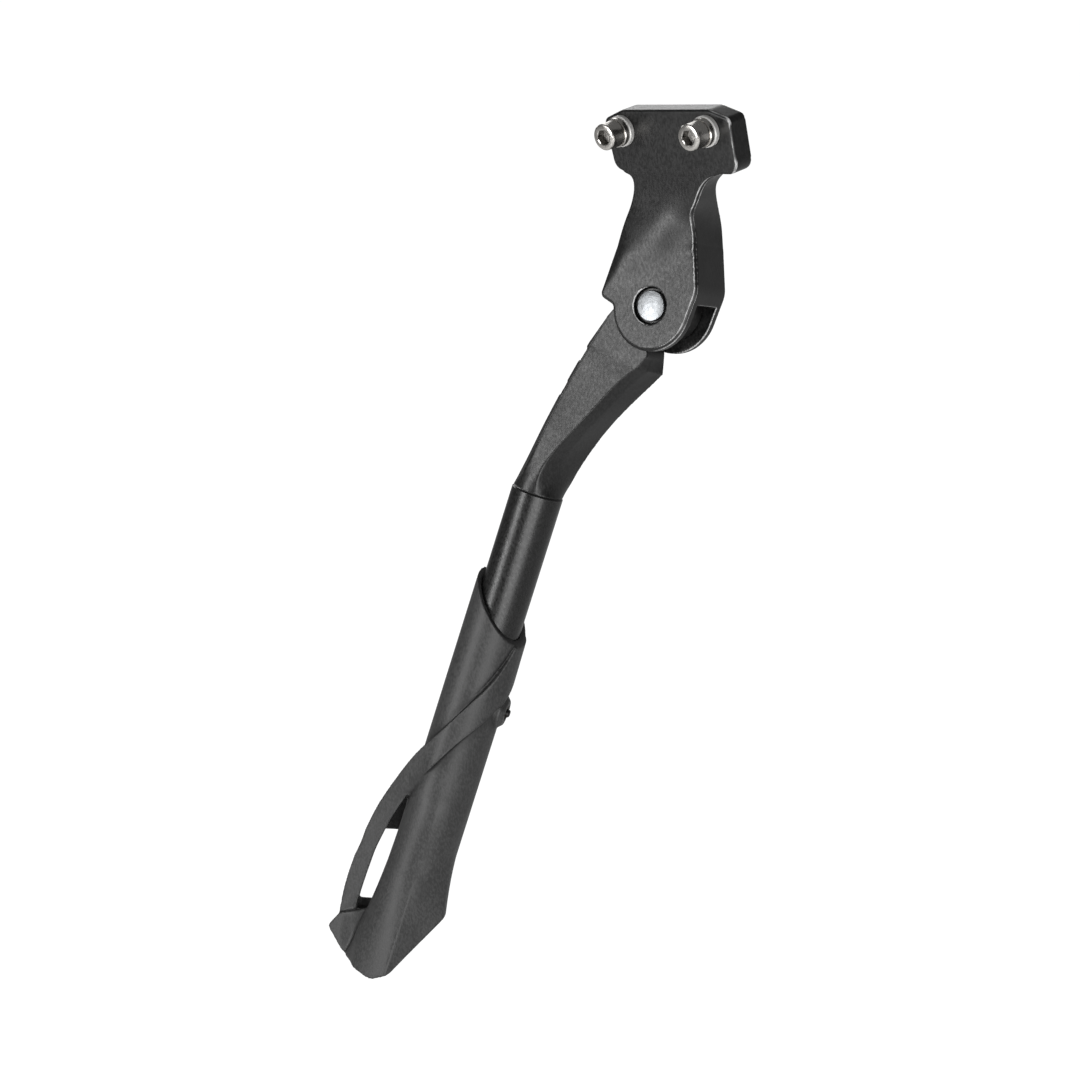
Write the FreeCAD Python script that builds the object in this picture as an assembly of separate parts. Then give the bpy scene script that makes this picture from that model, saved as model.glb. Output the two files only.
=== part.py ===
import FreeCAD, Part
import math
import os

os.makedirs("parts", exist_ok=True)

# Bicycle kickstand, millimetres, +Z up.
# The origin is midway between the two mounting screws, on the face that meets the bicycle frame.
# +X points to the rear of the bicycle, +Y points to the wheel, and -Y is the outer side.
# The leg is stored standing, with the foot slid to its middle length.

# Mounting plate, which clamps to the frame with two screws.
SCREW_PITCH = 40.0
PLATE_T = 8.25
PLATE_TOP = 7.3
PLATE_TOP_FRONT = -19.3
PLATE_TOP_REAR = 21.6
PLATE_FRONT = -28.4
PLATE_REAR = 30.9
PLATE_FRONT_CHAMFER = 3.2
PLATE_REAR_CHAMFER = 3.2
PLATE_BOTTOM_FRONT = -14.9
PLATE_BOTTOM_REAR = -15.7
PLATE_SIDE_LEAN = 1.5
PLATE_TOP_CORNER_R = 7.0
PLATE_SIDE_CORNER_R = 2.5
PLATE_CORNER_R = 4.5
PLATE_EDGE = 0.6
SCREW_HOLE_D = 6.5

# Mounting screws and their washers.
SCREW_D = 6.0
SCREW_LENGTH = 20.0
# Plain grip under the head; it ends where the thread leaves the plate.
SCREW_GRIP_D = 5.4
SCREW_GRIP_PAST_PLATE = 0.3
SCREW_HEAD_D = 9.5
SCREW_HEAD_H = 6.0
SCREW_KEY = 5.0
SCREW_KEY_DEPTH = 3.2
SCREW_HEAD_CHAMFER = 0.5
SCREW_TIP_CHAMFER = 0.8
WASHER_D = 11.2
WASHER_T = 2.0
WASHER_EDGE = 0.25
LOCK_WASHER_D = 10.4
LOCK_WASHER_T = 2.2
LOCK_WASHER_SPLIT = 0.9
LOCK_WASHER_LEAN = 25.0
LOCK_WASHER_SPLIT_ANGLE = 60.0
WASHER_HOLE_D = 6.4

# Pivot frame: X runs to the rear in the folding plane, Z runs up in it, -Y is the pin's head end.
PIVOT_X = -12.05
PIVOT_Y = -10.29
PIVOT_Z = -64.35
PIVOT_YAW = 12.0
PIVOT_TILT = 20.5

# Clevis, which holds the leg between two ears.
CLEVIS_W = 21.2
EAR_T = 3.8
EAR_R = 16.3
EAR_FRONT_R = 15.8
EAR_EDGE = 1.1
NOSE_X = -21.5
NOSE_Z = 4.0
NOSE_DROP = 3.4
NOSE_R = 2.2
NOSE_ROOT_R = 1.8
SHOULDER_X = 19.5
SHOULDER_Z = 4.5
SHOULDER_R = 10.0
CLEVIS_JOIN_Z = 21.0
CLEVIS_JOIN_FRONT = -14.8
CLEVIS_JOIN_REAR = 18.3
SLOT_TOP = 17.0
SLOT_R = 3.0
SLOT_FRONT_LEAN = 0.4
REAR_WEB_T = 4.4
FRONT_WEB_T = 5.2
REAR_WEB_BOTTOM = 0.0

# Neck between the plate and the clevis, a little proud of the plate's face.
NECK_PROUD = 0.06
NECK_FACE = -PLATE_T - NECK_PROUD
# Stations: height, then the front outer, rear outer, rear inner and front inner corner as (x, y).
NECK_STATIONS = (
    (-13.6, (-24.6, NECK_FACE), (25.4, NECK_FACE), (25.4, -0.3), (-24.6, -0.3)),
    (-16.3, (-21.3, NECK_FACE), (19.6, NECK_FACE), (19.6, -0.1), (-21.3, -0.1)),
    (-20.6, (-20.1, NECK_FACE), (13.1, NECK_FACE), (13.1, 1.4), (-20.1, 1.4)),
    (-25.6, (-21.5, -9.0), (9.6, NECK_FACE), (9.2, 4.0), (-21.5, 4.0)),
)
# The last stations, in the pivot frame.
NECK_LOWER_STATIONS = (
    (29.0, (-12.2, -10.6), (18.2, -12.3), (17.4, 10.6), (-12.2, 10.6)),
    (24.5, (-13.7, -10.6), (18.3, -10.9), (17.9, 10.6), (-13.7, 10.6)),
)
# Depths below the top of the clevis at which the neck ends inside it, with the inset there.
NECK_ROOTS = ((0.0, 0.04), (6.0, 0.7))

# Pivot pin with its head sunk in the outer ear, and the ring that keeps it in.
PIN_D = 8.0
PIN_HEAD_D = 11.2
PIN_HEAD_T = 1.7
PIN_HEAD_SUNK = 0.3
PIN_RECESS_D = 13.4
PIN_HEAD_EDGE = 0.6
PIN_DIMPLE_D = 9.0
PIN_DIMPLE_FLOOR_D = 0.8
PIN_DIMPLE_DEPTH = 0.7
PIN_TAIL = 2.4
PIN_TAIL_EDGE = 0.5
RING_T = 1.0
RING_D = 12.0
RING_GROOVE_DEPTH = 0.6
RING_GAP_ANGLE = 70.0
PIVOT_WASHER_D = 19.0
PIVOT_WASHER_T = 0.6

# Detent: a fixed cam bush that a sprung plunger in the leg bears on.
CAM_D = 13.0
CAM_FLAT = 5.2
CAM_END_GAP = 0.1
PLUNGER_D = 9.0
PLUNGER_TIP = 6.8
PLUNGER_LENGTH = 9.5
PLUNGER_STEM_D = 4.6
PLUNGER_STEM = 3.5
PLUNGER_BORE_END = 33.0
PLUNGER_LEAN = 42.0
SPRING_WIRE = 1.1
SPRING_MEAN_D = 6.4
SPRING_TURNS = 6.5
SPRING_STEPS = 8
FOLD_ANGLE = 98.0

# Upper leg casting.
HUB_R = 12.0
HUB_STOP_R = 12.4
HUB_STOP_LEAN = 45.0
STOP_GAP = 0.3
LEG_STOP_TOP_X = -9.5
LEG_STOP_TOP_R = 3.0
LEG_STOP_END_X = -21.0
LEG_REAR_X = -3.3
LEG_REAR_TOP = -11.0
LEG_FACET_START_Z = -18.4
LEG_POCKET_LENGTH = 5.5
LEG_POCKET_DEPTH = 2.2
LEG_POCKET_W = 6.0
LEG_POCKET_Y = -2.2
LEG_POCKET_STARTS = (2.0, 16.6)
SPIGOT_LENGTH = 26.0
# Sections of the casting from the ears to the tube: front and rear edge as (x, z),
# thickness, chamfer at the front edge and width of the slanted facet at the rear edge.
LEG_SECTIONS = (
    ((-29.4, -12.3), (-3.7, -23.8), 12.2, 2.2, 4.2),
    ((-38.2, -26.1), (-16.0, -33.6), 14.0, 2.6, 4.6),
    ((-47.2, -41.2), (-29.2, -45.2), 16.2, 3.2, 3.6),
    ((-54.2, -53.5), (-38.2, -55.6), 18.0, 4.0, 4.6),
)
LEG_HUB_CHAMFER = 0.5
LEG_HUB_FACET = 0.3
FACET_STEP = 0.45
FACET_DEPTH = 0.35

# Tube frame: Z runs up the tube to the seam at the casting, X runs to the rear.
SEAM_X = -52.85
SEAM_Z = -66.75
TUBE_LEAN = 19.4
TUBE_D = 19.5
TUBE_WALL = 1.6
TUBE_LENGTH = 128.0
TUBE_EDGE = 0.5
CASTING_END_D = 19.0

# Foot, a moulded sleeve that slides on the tube. Its wall is measured from the tube.
SLEEVE_WALL = 2.25
SLEEVE_D = TUBE_D + 2 * SLEEVE_WALL
SLEEVE_END = -152.0
MOUTH_MIDDLE = -45.5
MOUTH_SLOPE = 0.95
TUBE_BORE_END = -150.0
# Hoof sections: the radii at these angles around the sleeve, at each level.
HOOF_ANGLES = (-62.0, -25.0, 30.0, 62.0, 95.0, 140.0, 180.0, 225.0)
HOOF_LEVELS = (
    (-120.0, (11.8, 11.8, 11.8, 11.8, 11.8, 11.8, 11.8, 11.8)),
    (-145.0, (12.2, 12.0, 12.0, 12.0, 12.3, 12.0, 11.9, 12.0)),
    (-160.0, (13.0, 12.1, 12.3, 11.9, 14.6, 13.0, 11.6, 12.2)),
    (-172.0, (14.3, 12.4, 13.4, 12.4, 17.4, 14.0, 11.2, 12.8)),
    (-188.0, (16.9, 13.1, 14.6, 13.4, 20.5, 15.5, 10.6, 14.0)),
    (-205.0, (18.8, 13.9, 16.2, 14.8, 23.5, 17.0, 10.0, 15.5)),
)
# Outline of the sole, seen along a line turned from outward (-Y) towards the rear.
SOLE_TURN = 33.0
SOLE_HEEL_SLOPE = 0.61
SOLE_TOE_SLOPE = 1.58
SOLE_CORNER_R = 4.0
SOLE_TIP_R = 6.0
SOLE_HEEL = (14.6, -165.5)
SOLE_BEVEL_END = (0.8, -191.0)
SOLE_TIP = (-5.5, -196.0)
SOLE_TOE = (-18.0, -195.4)
HORN_TOP = (-25.2, -181.5)
HORN_TOP_R = 1.5
HORN_TIP = (-28.6, -188.2)
HORN_TIP_R = 2.0
HORN_TOE = (-17.4, -195.6)
HORN_TOE_R = 4.0
HORN_ROOT_TOP = (-10.0, -172.0)
HORN_ROOT_BOTTOM = (-8.0, -190.0)
HORN_FRONT = -5.5
HORN_BACK = 7.0
# Raised band on the sleeve: angle around it, height and rise of the upper and lower edge,
# and depth of the hollow in the sleeve above the upper edge.
BAND_STATIONS = (
    (135.0, (-50.0, -0.6), (-68.0, -0.6), 0.0),
    (110.0, (-50.0, 0.4), (-75.0, 1.2), 0.0),
    (91.0, (-53.0, 0.5), (-79.0, 1.7), 1.0),
    (76.0, (-61.0, 0.8), (-82.5, 1.7), 1.2),
    (57.0, (-70.3, 1.7), (-88.5, 1.7), 0.9),
    (30.0, (-81.5, 1.7), (-97.5, 1.7), 0.4),
    (2.0, (-93.0, 1.7), (-109.0, 1.7), 0.0),
)
BAND_T = 3.5
GROOVE_W = 3.4
GROOVE_LIP = 0.2
# Free strap between the band and the horn: outer (x, z), inner (x, z), face y.
STRAP_STATIONS = (
    ((-8.6, -106.5), (-3.4, -114.5), -12.0),
    ((-16.7, -122.0), (-9.8, -126.5), -9.0),
    ((-22.1, -135.4), (-14.9, -139.5), -7.0),
    ((-25.1, -149.3), (-17.7, -152.0), -6.0),
    ((-26.9, -163.0), (-19.1, -165.0), -5.0),
    ((-26.9, -175.0), (-19.5, -176.5), -4.4),
    ((-26.0, -188.0), (-19.5, -188.0), -4.0),
)
STRAP_T = 2.2
STRAP_DRAFT = 0.9
WEB_FRONT = 0.5
WEB_T = 2.6
WEB_INSET = 0.6
WEB_ROOT_X = -6.0
WEB_TOP = -112.0
WEB_BOTTOM = -190.0
WINDOW_TOP = -144.1
WINDOW_BOTTOM = -173.0
WINDOW_FRONT = -24.0
WINDOW_REAR = -8.0
# Height gained by the window's ends per millimetre to the rear of the strap's inner edge.
WINDOW_SLOPE = 0.4
WINDOW_STRAP_X = -18.5
WINDOW_CORNER_R = 0.5

# Clamp that holds the foot at its length: a set screw in a metal insert in the boss.
CLAMP_Z = -83.5
CLAMP_ANGLE = 113.0
CLAMP_BOSS_D = 13.0
CLAMP_BOSS_RISE = 1.9
CLAMP_BOSS_EDGE = 1.8
CLAMP_INSERT_D = 5.5
CLAMP_INSERT_L = 3.0
CLAMP_INSERT_SUNK = 0.6
CLAMP_SCREW_D = 3.0
CLAMP_SCREW_PROUD = 1.2
CLAMP_SCREW_EDGE = 0.4
CLAMP_SCREW_HOLE_GAP = 0.2
CLAMP_KEY = 1.5
CLAMP_KEY_DEPTH = 1.6

# Clearances.
RUNNING_FIT = 0.05
SLIDE_FIT = 0.15
HUB_SIDE_FIT = 0.1
SCREW_TIP_FIT = 0.3

V = FreeCAD.Vector


def local_frame(origin, yaw, tilt):
    """Placement whose X runs along the yawed horizontal and whose -Y is tilted up by tilt."""
    turn = FreeCAD.Rotation(V(0, 0, 1), yaw)
    tip = FreeCAD.Rotation(V(1, 0, 0), -tilt)
    return FreeCAD.Placement(origin, turn.multiply(tip))


PIVOT = local_frame(V(PIVOT_X, PIVOT_Y, PIVOT_Z), PIVOT_YAW, PIVOT_TILT)
SEAM = FreeCAD.Placement(V(SEAM_X, 0, SEAM_Z), FreeCAD.Rotation(V(0, 1, 0), TUBE_LEAN))
TUBE = PIVOT.multiply(SEAM)


def placed(shape, frame):
    """A copy of the shape, moved from a local frame into the part frame."""
    moved = shape.copy()
    moved.Placement = frame.multiply(moved.Placement)
    return moved


def rounded_corner(before, here, after, radius):
    """Start, middle and end of the arc that rounds the corner at here."""
    back = before.sub(here).normalize()
    ahead = after.sub(here).normalize()
    half = back.getAngle(ahead) / 2
    reach = radius / math.tan(half)
    bisector = back.add(ahead).normalize()
    middle = here + bisector * (radius / math.sin(half) - radius)
    return here + back * reach, middle, here + ahead * reach


def rounded_wire(points, radii):
    """Closed wire through points, with an arc at each corner that has a radius."""
    arcs = []
    for index, here in enumerate(points):
        after = points[(index + 1) % len(points)]
        arcs.append(rounded_corner(points[index - 1], here, after, radii[index]))
    edges = []
    for index, (start, middle, end) in enumerate(arcs):
        if radii[index] > 0:
            edges.append(Part.Arc(start, middle, end).toShape())
        following = arcs[(index + 1) % len(arcs)][0]
        if end.distanceToPoint(following) > 1e-6:
            edges.append(Part.makeLine(end, following))
    return Part.Wire(edges)


def outline(corners):
    """Closed wire in the XZ plane through corners (x, z, radius)."""
    points = [V(x, 0, z) for x, z, _ in corners]
    return rounded_wire(points, [radius for _, _, radius in corners])


def prism(corners, y_start, y_end):
    """Outline in the XZ plane, extruded along Y."""
    face = Part.Face(outline(corners))
    face.translate(V(0, y_start, 0))
    return face.extrude(V(0, y_end - y_start, 0))


def rod(diameter, base, axis, length):
    return Part.makeCylinder(diameter / 2, length, base, axis)


def ring(outer_d, inner_d, base, axis, length):
    return rod(outer_d, base, axis, length).cut(rod(inner_d, base, axis, length))


def hex_bar(across_flats, base, axis, length):
    """Hexagonal prism that starts at base and runs along axis."""
    radius = across_flats / math.sqrt(3)
    points = []
    for step in range(7):
        angle = math.radians(60 * step)
        points.append(V(radius * math.cos(angle), radius * math.sin(angle), 0))
    bar = Part.Face(Part.makePolygon(points)).extrude(V(0, 0, length))
    return placed(bar, FreeCAD.Placement(base, FreeCAD.Rotation(V(0, 0, 1), axis)))


def polar(radius, angle, z):
    """Point around a local Z axis; angle 0 is outward (-Y) and 90 is rearward (+X)."""
    turn = math.radians(angle)
    return V(radius * math.sin(turn), -radius * math.cos(turn), z)


def save(shape, name):
    shape.exportStep(os.path.join("parts", name + ".step"))
    print(name, len(shape.Solids), "solid", round(shape.Volume), "mm3")


def edges_in_plane(shape, y):
    """Edges whose points all lie in the plane at y."""
    chosen = []
    for edge in shape.Edges:
        ends = [edge.valueAt(edge.FirstParameter), edge.valueAt(edge.LastParameter)]
        ends.append(edge.CenterOfMass)
        if all(abs(point.y - y) < 1e-4 for point in ends):
            chosen.append(edge)
    return chosen


def plate_body():
    """Plate that takes the two mounting screws."""
    corners = [
        (PLATE_FRONT, PLATE_TOP - PLATE_FRONT_CHAMFER, PLATE_SIDE_CORNER_R),
        (PLATE_TOP_FRONT, PLATE_TOP, PLATE_TOP_CORNER_R),
        (PLATE_TOP_REAR, PLATE_TOP, PLATE_TOP_CORNER_R),
        (PLATE_REAR, PLATE_TOP - PLATE_REAR_CHAMFER, PLATE_SIDE_CORNER_R),
        (PLATE_REAR, PLATE_BOTTOM_REAR, PLATE_CORNER_R),
        (PLATE_FRONT + PLATE_SIDE_LEAN, PLATE_BOTTOM_FRONT, PLATE_CORNER_R),
    ]
    body = prism(corners, -PLATE_T, 0)
    return body.makeChamfer(PLATE_EDGE, edges_in_plane(body, -PLATE_T))


def ear_tangent_x():
    """Where the line from the clevis shoulder along the ear meets the ear's lowest level."""
    distance = math.hypot(SHOULDER_X, SHOULDER_Z)
    bearing = math.atan2(SHOULDER_Z, SHOULDER_X) - math.acos(EAR_R / distance)
    return EAR_R * math.tan(math.pi / 4 + bearing / 2)


def clevis_body():
    """Both ears as one block, before the slot is cut."""
    corners = [
        (NOSE_X, NOSE_Z, NOSE_R),
        (CLEVIS_JOIN_FRONT, CLEVIS_JOIN_Z, 0),
        (CLEVIS_JOIN_REAR, CLEVIS_JOIN_Z, 0),
        (SHOULDER_X, SHOULDER_Z, SHOULDER_R),
        (ear_tangent_x(), -EAR_R, EAR_R),
        (-EAR_FRONT_R, -EAR_R, EAR_FRONT_R),
        (-EAR_FRONT_R, NOSE_Z - NOSE_DROP, NOSE_ROOT_R),
    ]
    half = CLEVIS_W / 2
    body = prism(corners, -half, half)
    rims = edges_in_plane(body, -half) + edges_in_plane(body, half)
    below_join = [edge for edge in rims if edge.CenterOfMass.z < CLEVIS_JOIN_Z - 0.01]
    return body.makeChamfer(EAR_EDGE, below_join)


def clevis_edges(z):
    """Front and rear edge of the clevis at height z, near its top."""
    front_share = (CLEVIS_JOIN_Z - z) / (CLEVIS_JOIN_Z - NOSE_Z)
    rear_share = (CLEVIS_JOIN_Z - z) / (CLEVIS_JOIN_Z - SHOULDER_Z)
    front = CLEVIS_JOIN_FRONT + front_share * (NOSE_X - CLEVIS_JOIN_FRONT)
    return front, CLEVIS_JOIN_REAR + rear_share * (SHOULDER_X - CLEVIS_JOIN_REAR)


def neck_section(z, *corners):
    """Four-cornered section at height z, with each corner cut off."""
    points = []
    for index, corner in enumerate(corners):
        here = V(*corner, z)
        for beside in (corners[index - 1], corners[(index + 1) % 4]):
            step = V(*beside, z).sub(here)
            step.normalize()
            points.append(here + step * EAR_EDGE)
    return Part.makePolygon(points + points[:1])


def neck_root(depth, inset):
    """Section of the clevis at a depth below its top, a little inside its outline."""
    z = CLEVIS_JOIN_Z - depth
    front, rear = clevis_edges(z)
    front += inset
    rear -= inset
    half = CLEVIS_W / 2 - inset
    return neck_section(z, (front, -half), (rear, -half), (rear, half), (front, half))


def neck_body():
    """Smooth neck that twists from the upright plate to the tilted clevis."""
    wires = [neck_section(*station) for station in NECK_STATIONS]
    wires += [placed(neck_section(*station), PIVOT) for station in NECK_LOWER_STATIONS]
    wires += [placed(neck_root(*root), PIVOT) for root in NECK_ROOTS]
    return Part.makeLoft(wires, True, False)


def stop_line_z(x):
    """Height of the standing stop, a line that clears the leg's front edge by the stop gap."""
    lean = math.radians(HUB_STOP_LEAN)
    return x * math.tan(lean) + (HUB_STOP_R + STOP_GAP) / math.cos(lean)


def leg_slot():
    """Room for the leg's hub: open below, and closed by a web at the front and rear."""
    web_x = NOSE_X + NOSE_R + FRONT_WEB_T
    top_x = web_x + (SLOT_TOP - stop_line_z(web_x)) * SLOT_FRONT_LEAN
    rear_x = SHOULDER_X - REAR_WEB_T
    reach = 2 * CLEVIS_W
    corners = [
        (-reach, stop_line_z(-reach), 0),
        (web_x, stop_line_z(web_x), 0),
        (top_x, SLOT_TOP, SLOT_R),
        (rear_x, SLOT_TOP, SLOT_R),
        (rear_x, REAR_WEB_BOTTOM, 0),
        (reach, REAR_WEB_BOTTOM, 0),
        (reach, -1.5 * reach, 0),
        (-reach, -1.5 * reach, 0),
    ]
    half = CLEVIS_W / 2 - EAR_T
    return prism(corners, -half, half)


def mounting_bracket():
    body = placed(clevis_body(), PIVOT).fuse([neck_body(), plate_body()])
    body = body.cut(placed(leg_slot(), PIVOT))
    outward = V(0, -1, 0)
    inward = V(0, 1, 0)
    face_y = -CLEVIS_W / 2
    pin_hole = rod(PIN_D, V(0, face_y - 1, 0), inward, CLEVIS_W + 2)
    recess = rod(PIN_RECESS_D, V(0, face_y + PIN_HEAD_T + PIN_HEAD_SUNK, 0), outward, CLEVIS_W)
    body = body.cut(placed(pin_hole.fuse(recess), PIVOT))
    for x in (-SCREW_PITCH / 2, SCREW_PITCH / 2):
        body = body.cut(rod(SCREW_HOLE_D, V(x, -PLATE_T - 1, 0), inward, PLATE_T + 2))
    return body.removeSplitter()


def mount_screw(x):
    """Socket head screw whose head presses on the lock washer."""
    seat = -PLATE_T - WASHER_T - LOCK_WASHER_T
    head = rod(SCREW_HEAD_D, V(x, seat, 0), V(0, -1, 0), SCREW_HEAD_H)
    head = head.makeChamfer(SCREW_HEAD_CHAMFER, edges_in_plane(head, seat - SCREW_HEAD_H))
    grip = rod(SCREW_GRIP_D, V(x, seat, 0), V(0, 1, 0), SCREW_GRIP_PAST_PLATE - seat)
    thread_length = seat + SCREW_LENGTH - SCREW_GRIP_PAST_PLATE
    thread = rod(SCREW_D, V(x, SCREW_GRIP_PAST_PLATE, 0), V(0, 1, 0), thread_length)
    thread = thread.makeChamfer(SCREW_TIP_CHAMFER, edges_in_plane(thread, seat + SCREW_LENGTH))
    socket = hex_bar(SCREW_KEY, V(x, seat - SCREW_HEAD_H, 0), V(0, 1, 0), SCREW_KEY_DEPTH)
    return head.fuse([grip, thread]).cut(socket).removeSplitter()


def flat_washer(x):
    washer = ring(WASHER_D, WASHER_HOLE_D, V(x, -PLATE_T, 0), V(0, -1, 0), WASHER_T)
    return washer.makeChamfer(WASHER_EDGE, edges_in_plane(washer, -PLATE_T - WASHER_T)[:1])


def lock_washer(x):
    """Split ring washer with a slanted gap at its upper rear."""
    seat = -PLATE_T - WASHER_T
    washer = ring(LOCK_WASHER_D, WASHER_HOLE_D, V(x, seat, 0), V(0, -1, 0), LOCK_WASHER_T)
    gap = Part.makeBox(LOCK_WASHER_SPLIT, LOCK_WASHER_T * 3, LOCK_WASHER_D)
    gap.translate(V(-LOCK_WASHER_SPLIT / 2, -LOCK_WASHER_T * 1.5, 0))
    gap.rotate(V(0, 0, 0), V(0, 0, 1), LOCK_WASHER_LEAN)
    gap.rotate(V(0, 0, 0), V(0, 1, 0), LOCK_WASHER_SPLIT_ANGLE)
    gap.translate(V(x, seat - LOCK_WASHER_T / 2, 0))
    return washer.cut(gap)


def pivot_pin():
    """Headed pin across both ears, with a groove for its ring at the wheel side."""
    head_face = -CLEVIS_W / 2 + PIN_HEAD_SUNK
    seat = head_face + PIN_HEAD_T
    head = rod(PIN_HEAD_D, V(0, seat, 0), V(0, -1, 0), PIN_HEAD_T)
    head = head.makeChamfer(PIN_HEAD_EDGE, edges_in_plane(head, head_face))
    rim_r, floor_r = PIN_DIMPLE_D / 2, PIN_DIMPLE_FLOOR_D / 2
    dimple = Part.makeCone(rim_r, floor_r, PIN_DIMPLE_DEPTH, V(0, head_face, 0), V(0, 1, 0))
    tail_end = CLEVIS_W / 2 + PIN_TAIL
    shank = rod(PIN_D, V(0, seat, 0), V(0, 1, 0), tail_end - seat)
    shank = shank.makeChamfer(PIN_TAIL_EDGE, edges_in_plane(shank, tail_end))
    groove_d = PIN_D - 2 * RING_GROOVE_DEPTH
    groove = ring(PIN_D + 2, groove_d, V(0, CLEVIS_W / 2, 0), V(0, 1, 0), RING_T)
    return head.cut(dimple).fuse(shank).cut(groove).removeSplitter()


def pin_ring():
    """Open retaining ring in the pin's groove, against the wheel-side ear."""
    base = V(0, CLEVIS_W / 2, 0)
    body = ring(RING_D, PIN_D - 2 * RING_GROOVE_DEPTH, base, V(0, 1, 0), RING_T)
    half = math.radians(RING_GAP_ANGLE / 2)
    points = [V(0, 0, 0), V(RING_D * math.sin(half), 0, -RING_D * math.cos(half))]
    points.append(V(-RING_D * math.sin(half), 0, -RING_D * math.cos(half)))
    points.append(points[0])
    gap = Part.Face(Part.makePolygon(points)).extrude(V(0, RING_T, 0))
    gap.translate(base)
    return body.cut(gap)


def hub_half_width():
    return CLEVIS_W / 2 - EAR_T - PIVOT_WASHER_T - HUB_SIDE_FIT


def pivot_washer(side):
    """Thin washer between the leg's hub and one ear; side is -1 outer, 1 inner."""
    seat = side * (CLEVIS_W / 2 - EAR_T)
    inner_d = PIN_D + 2 * RUNNING_FIT
    return ring(PIVOT_WASHER_D, inner_d, V(0, seat, 0), V(0, -side, 0), PIVOT_WASHER_T)


def plunger_direction(fold):
    """Unit direction from the pivot along the plunger bore, with the leg folded by fold."""
    turn = math.radians(-PLUNGER_LEAN + fold)
    return V(math.sin(turn), 0, -math.cos(turn))


def cam_bush():
    """Bush fixed on the pin with one flat for each resting position of the leg."""
    half = hub_half_width() - CAM_END_GAP
    body = ring(CAM_D, PIN_D, V(0, -half, 0), V(0, 1, 0), 2 * half)
    for fold in (0, FOLD_ANGLE):
        direction = plunger_direction(fold)
        block = Part.makeBox(CAM_D, 2 * half + 2, CAM_D)
        block.translate(V(-CAM_D / 2, -half - 1, CAM_FLAT))
        lean = FreeCAD.Rotation(V(0, 1, 0), math.degrees(math.atan2(direction.x, direction.z)))
        body = body.cut(placed(block, FreeCAD.Placement(V(0, 0, 0), lean)))
    return body


def detent_plunger():
    """Blunt plunger with a stem for the spring."""
    direction = plunger_direction(0)
    tip = direction * PLUNGER_TIP
    body = rod(PLUNGER_D, tip, direction, PLUNGER_LENGTH)
    stem = rod(PLUNGER_STEM_D, tip + direction * PLUNGER_LENGTH, direction, PLUNGER_STEM)
    return body.fuse(stem).removeSplitter()


def coil_section(angle, height):
    """Square section of the spring wire, turned onto its corners, at an angle around the coil."""
    half = SPRING_WIRE / 2
    middle = SPRING_MEAN_D / 2
    points = [
        polar(middle + half, angle, height),
        polar(middle, angle, height + half),
        polar(middle - half, angle, height),
        polar(middle, angle, height - half),
    ]
    return quad(*points)


def detent_spring():
    """Wire coil from the plunger's shoulder to the end of the bore."""
    direction = plunger_direction(0)
    start = PLUNGER_TIP + PLUNGER_LENGTH + SPRING_WIRE / 2
    length = PLUNGER_BORE_END - SPRING_WIRE / 2 - start
    steps = round(SPRING_TURNS * SPRING_STEPS)
    wires = [coil_section(360.0 * step / SPRING_STEPS, length * step / steps) for step in range(steps + 1)]
    coil = Part.makeLoft(wires, True, True)
    return placed(coil, FreeCAD.Placement(direction * start, FreeCAD.Rotation(V(0, 0, 1), direction)))


def section_wire(left, right, thickness, chamfer, facet):
    """Six-sided section of the casting between its front edge (left) and rear edge (right)."""
    start = V(left[0], 0, left[1])
    across = V(right[0], 0, right[1]).sub(start)
    width = across.Length
    across.normalize()
    half = thickness / 2
    corners = [
        (chamfer, -half),
        (width - facet, -half),
        (width - facet * FACET_STEP, -half + thickness * FACET_DEPTH),
        (width, half),
        (0, half),
        (0, -half + chamfer),
    ]
    points = [start + across * along + V(0, depth, 0) for along, depth in corners]
    return Part.makePolygon(points + points[:1])


def round_section():
    """End of the casting at the tube, a circle in six arcs that match the sections."""
    angles = [-40.0, 30.0, 62.0, 135.0, 225.0, 290.0, 320.0]
    radius = CASTING_END_D / 2
    arcs = []
    for first, last in zip(angles[:-1], angles[1:]):
        points = [polar(radius, angle, 0) for angle in (first, (first + last) / 2, last)]
        arcs.append(Part.Arc(*points).toShape())
    return placed(Part.Wire(arcs), SEAM)


def casting_body():
    """Flat hub part that swells into the round end."""
    half = hub_half_width()
    lean = math.tan(math.radians(HUB_STOP_LEAN))
    stop_edge = HUB_STOP_R / math.cos(math.radians(HUB_STOP_LEAN))
    top = (LEG_STOP_TOP_X, LEG_STOP_TOP_X * lean + stop_edge)
    end = (LEG_STOP_END_X, LEG_STOP_END_X * lean + stop_edge)
    rear = (LEG_REAR_X, LEG_FACET_START_Z)
    corners = [
        (top[0], top[1], LEG_STOP_TOP_R),
        (end[0], end[1], 0),
        (rear[0], rear[1], 0),
        (LEG_REAR_X, LEG_REAR_TOP, 0),
        (0, 0, 0),
    ]
    hub = rod(2 * HUB_R, V(0, -half, 0), V(0, 1, 0), 2 * half)
    flat = prism(corners, -half, half)
    first = section_wire(end, rear, 2 * half, LEG_HUB_CHAMFER, LEG_HUB_FACET)
    wires = [section_wire(*section) for section in LEG_SECTIONS]
    shoulder = Part.makeLoft([first, wires[0]], True, True)
    swell = Part.makeLoft(wires + [round_section()], True, False)
    return hub.fuse([flat, shoulder, swell])


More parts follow.
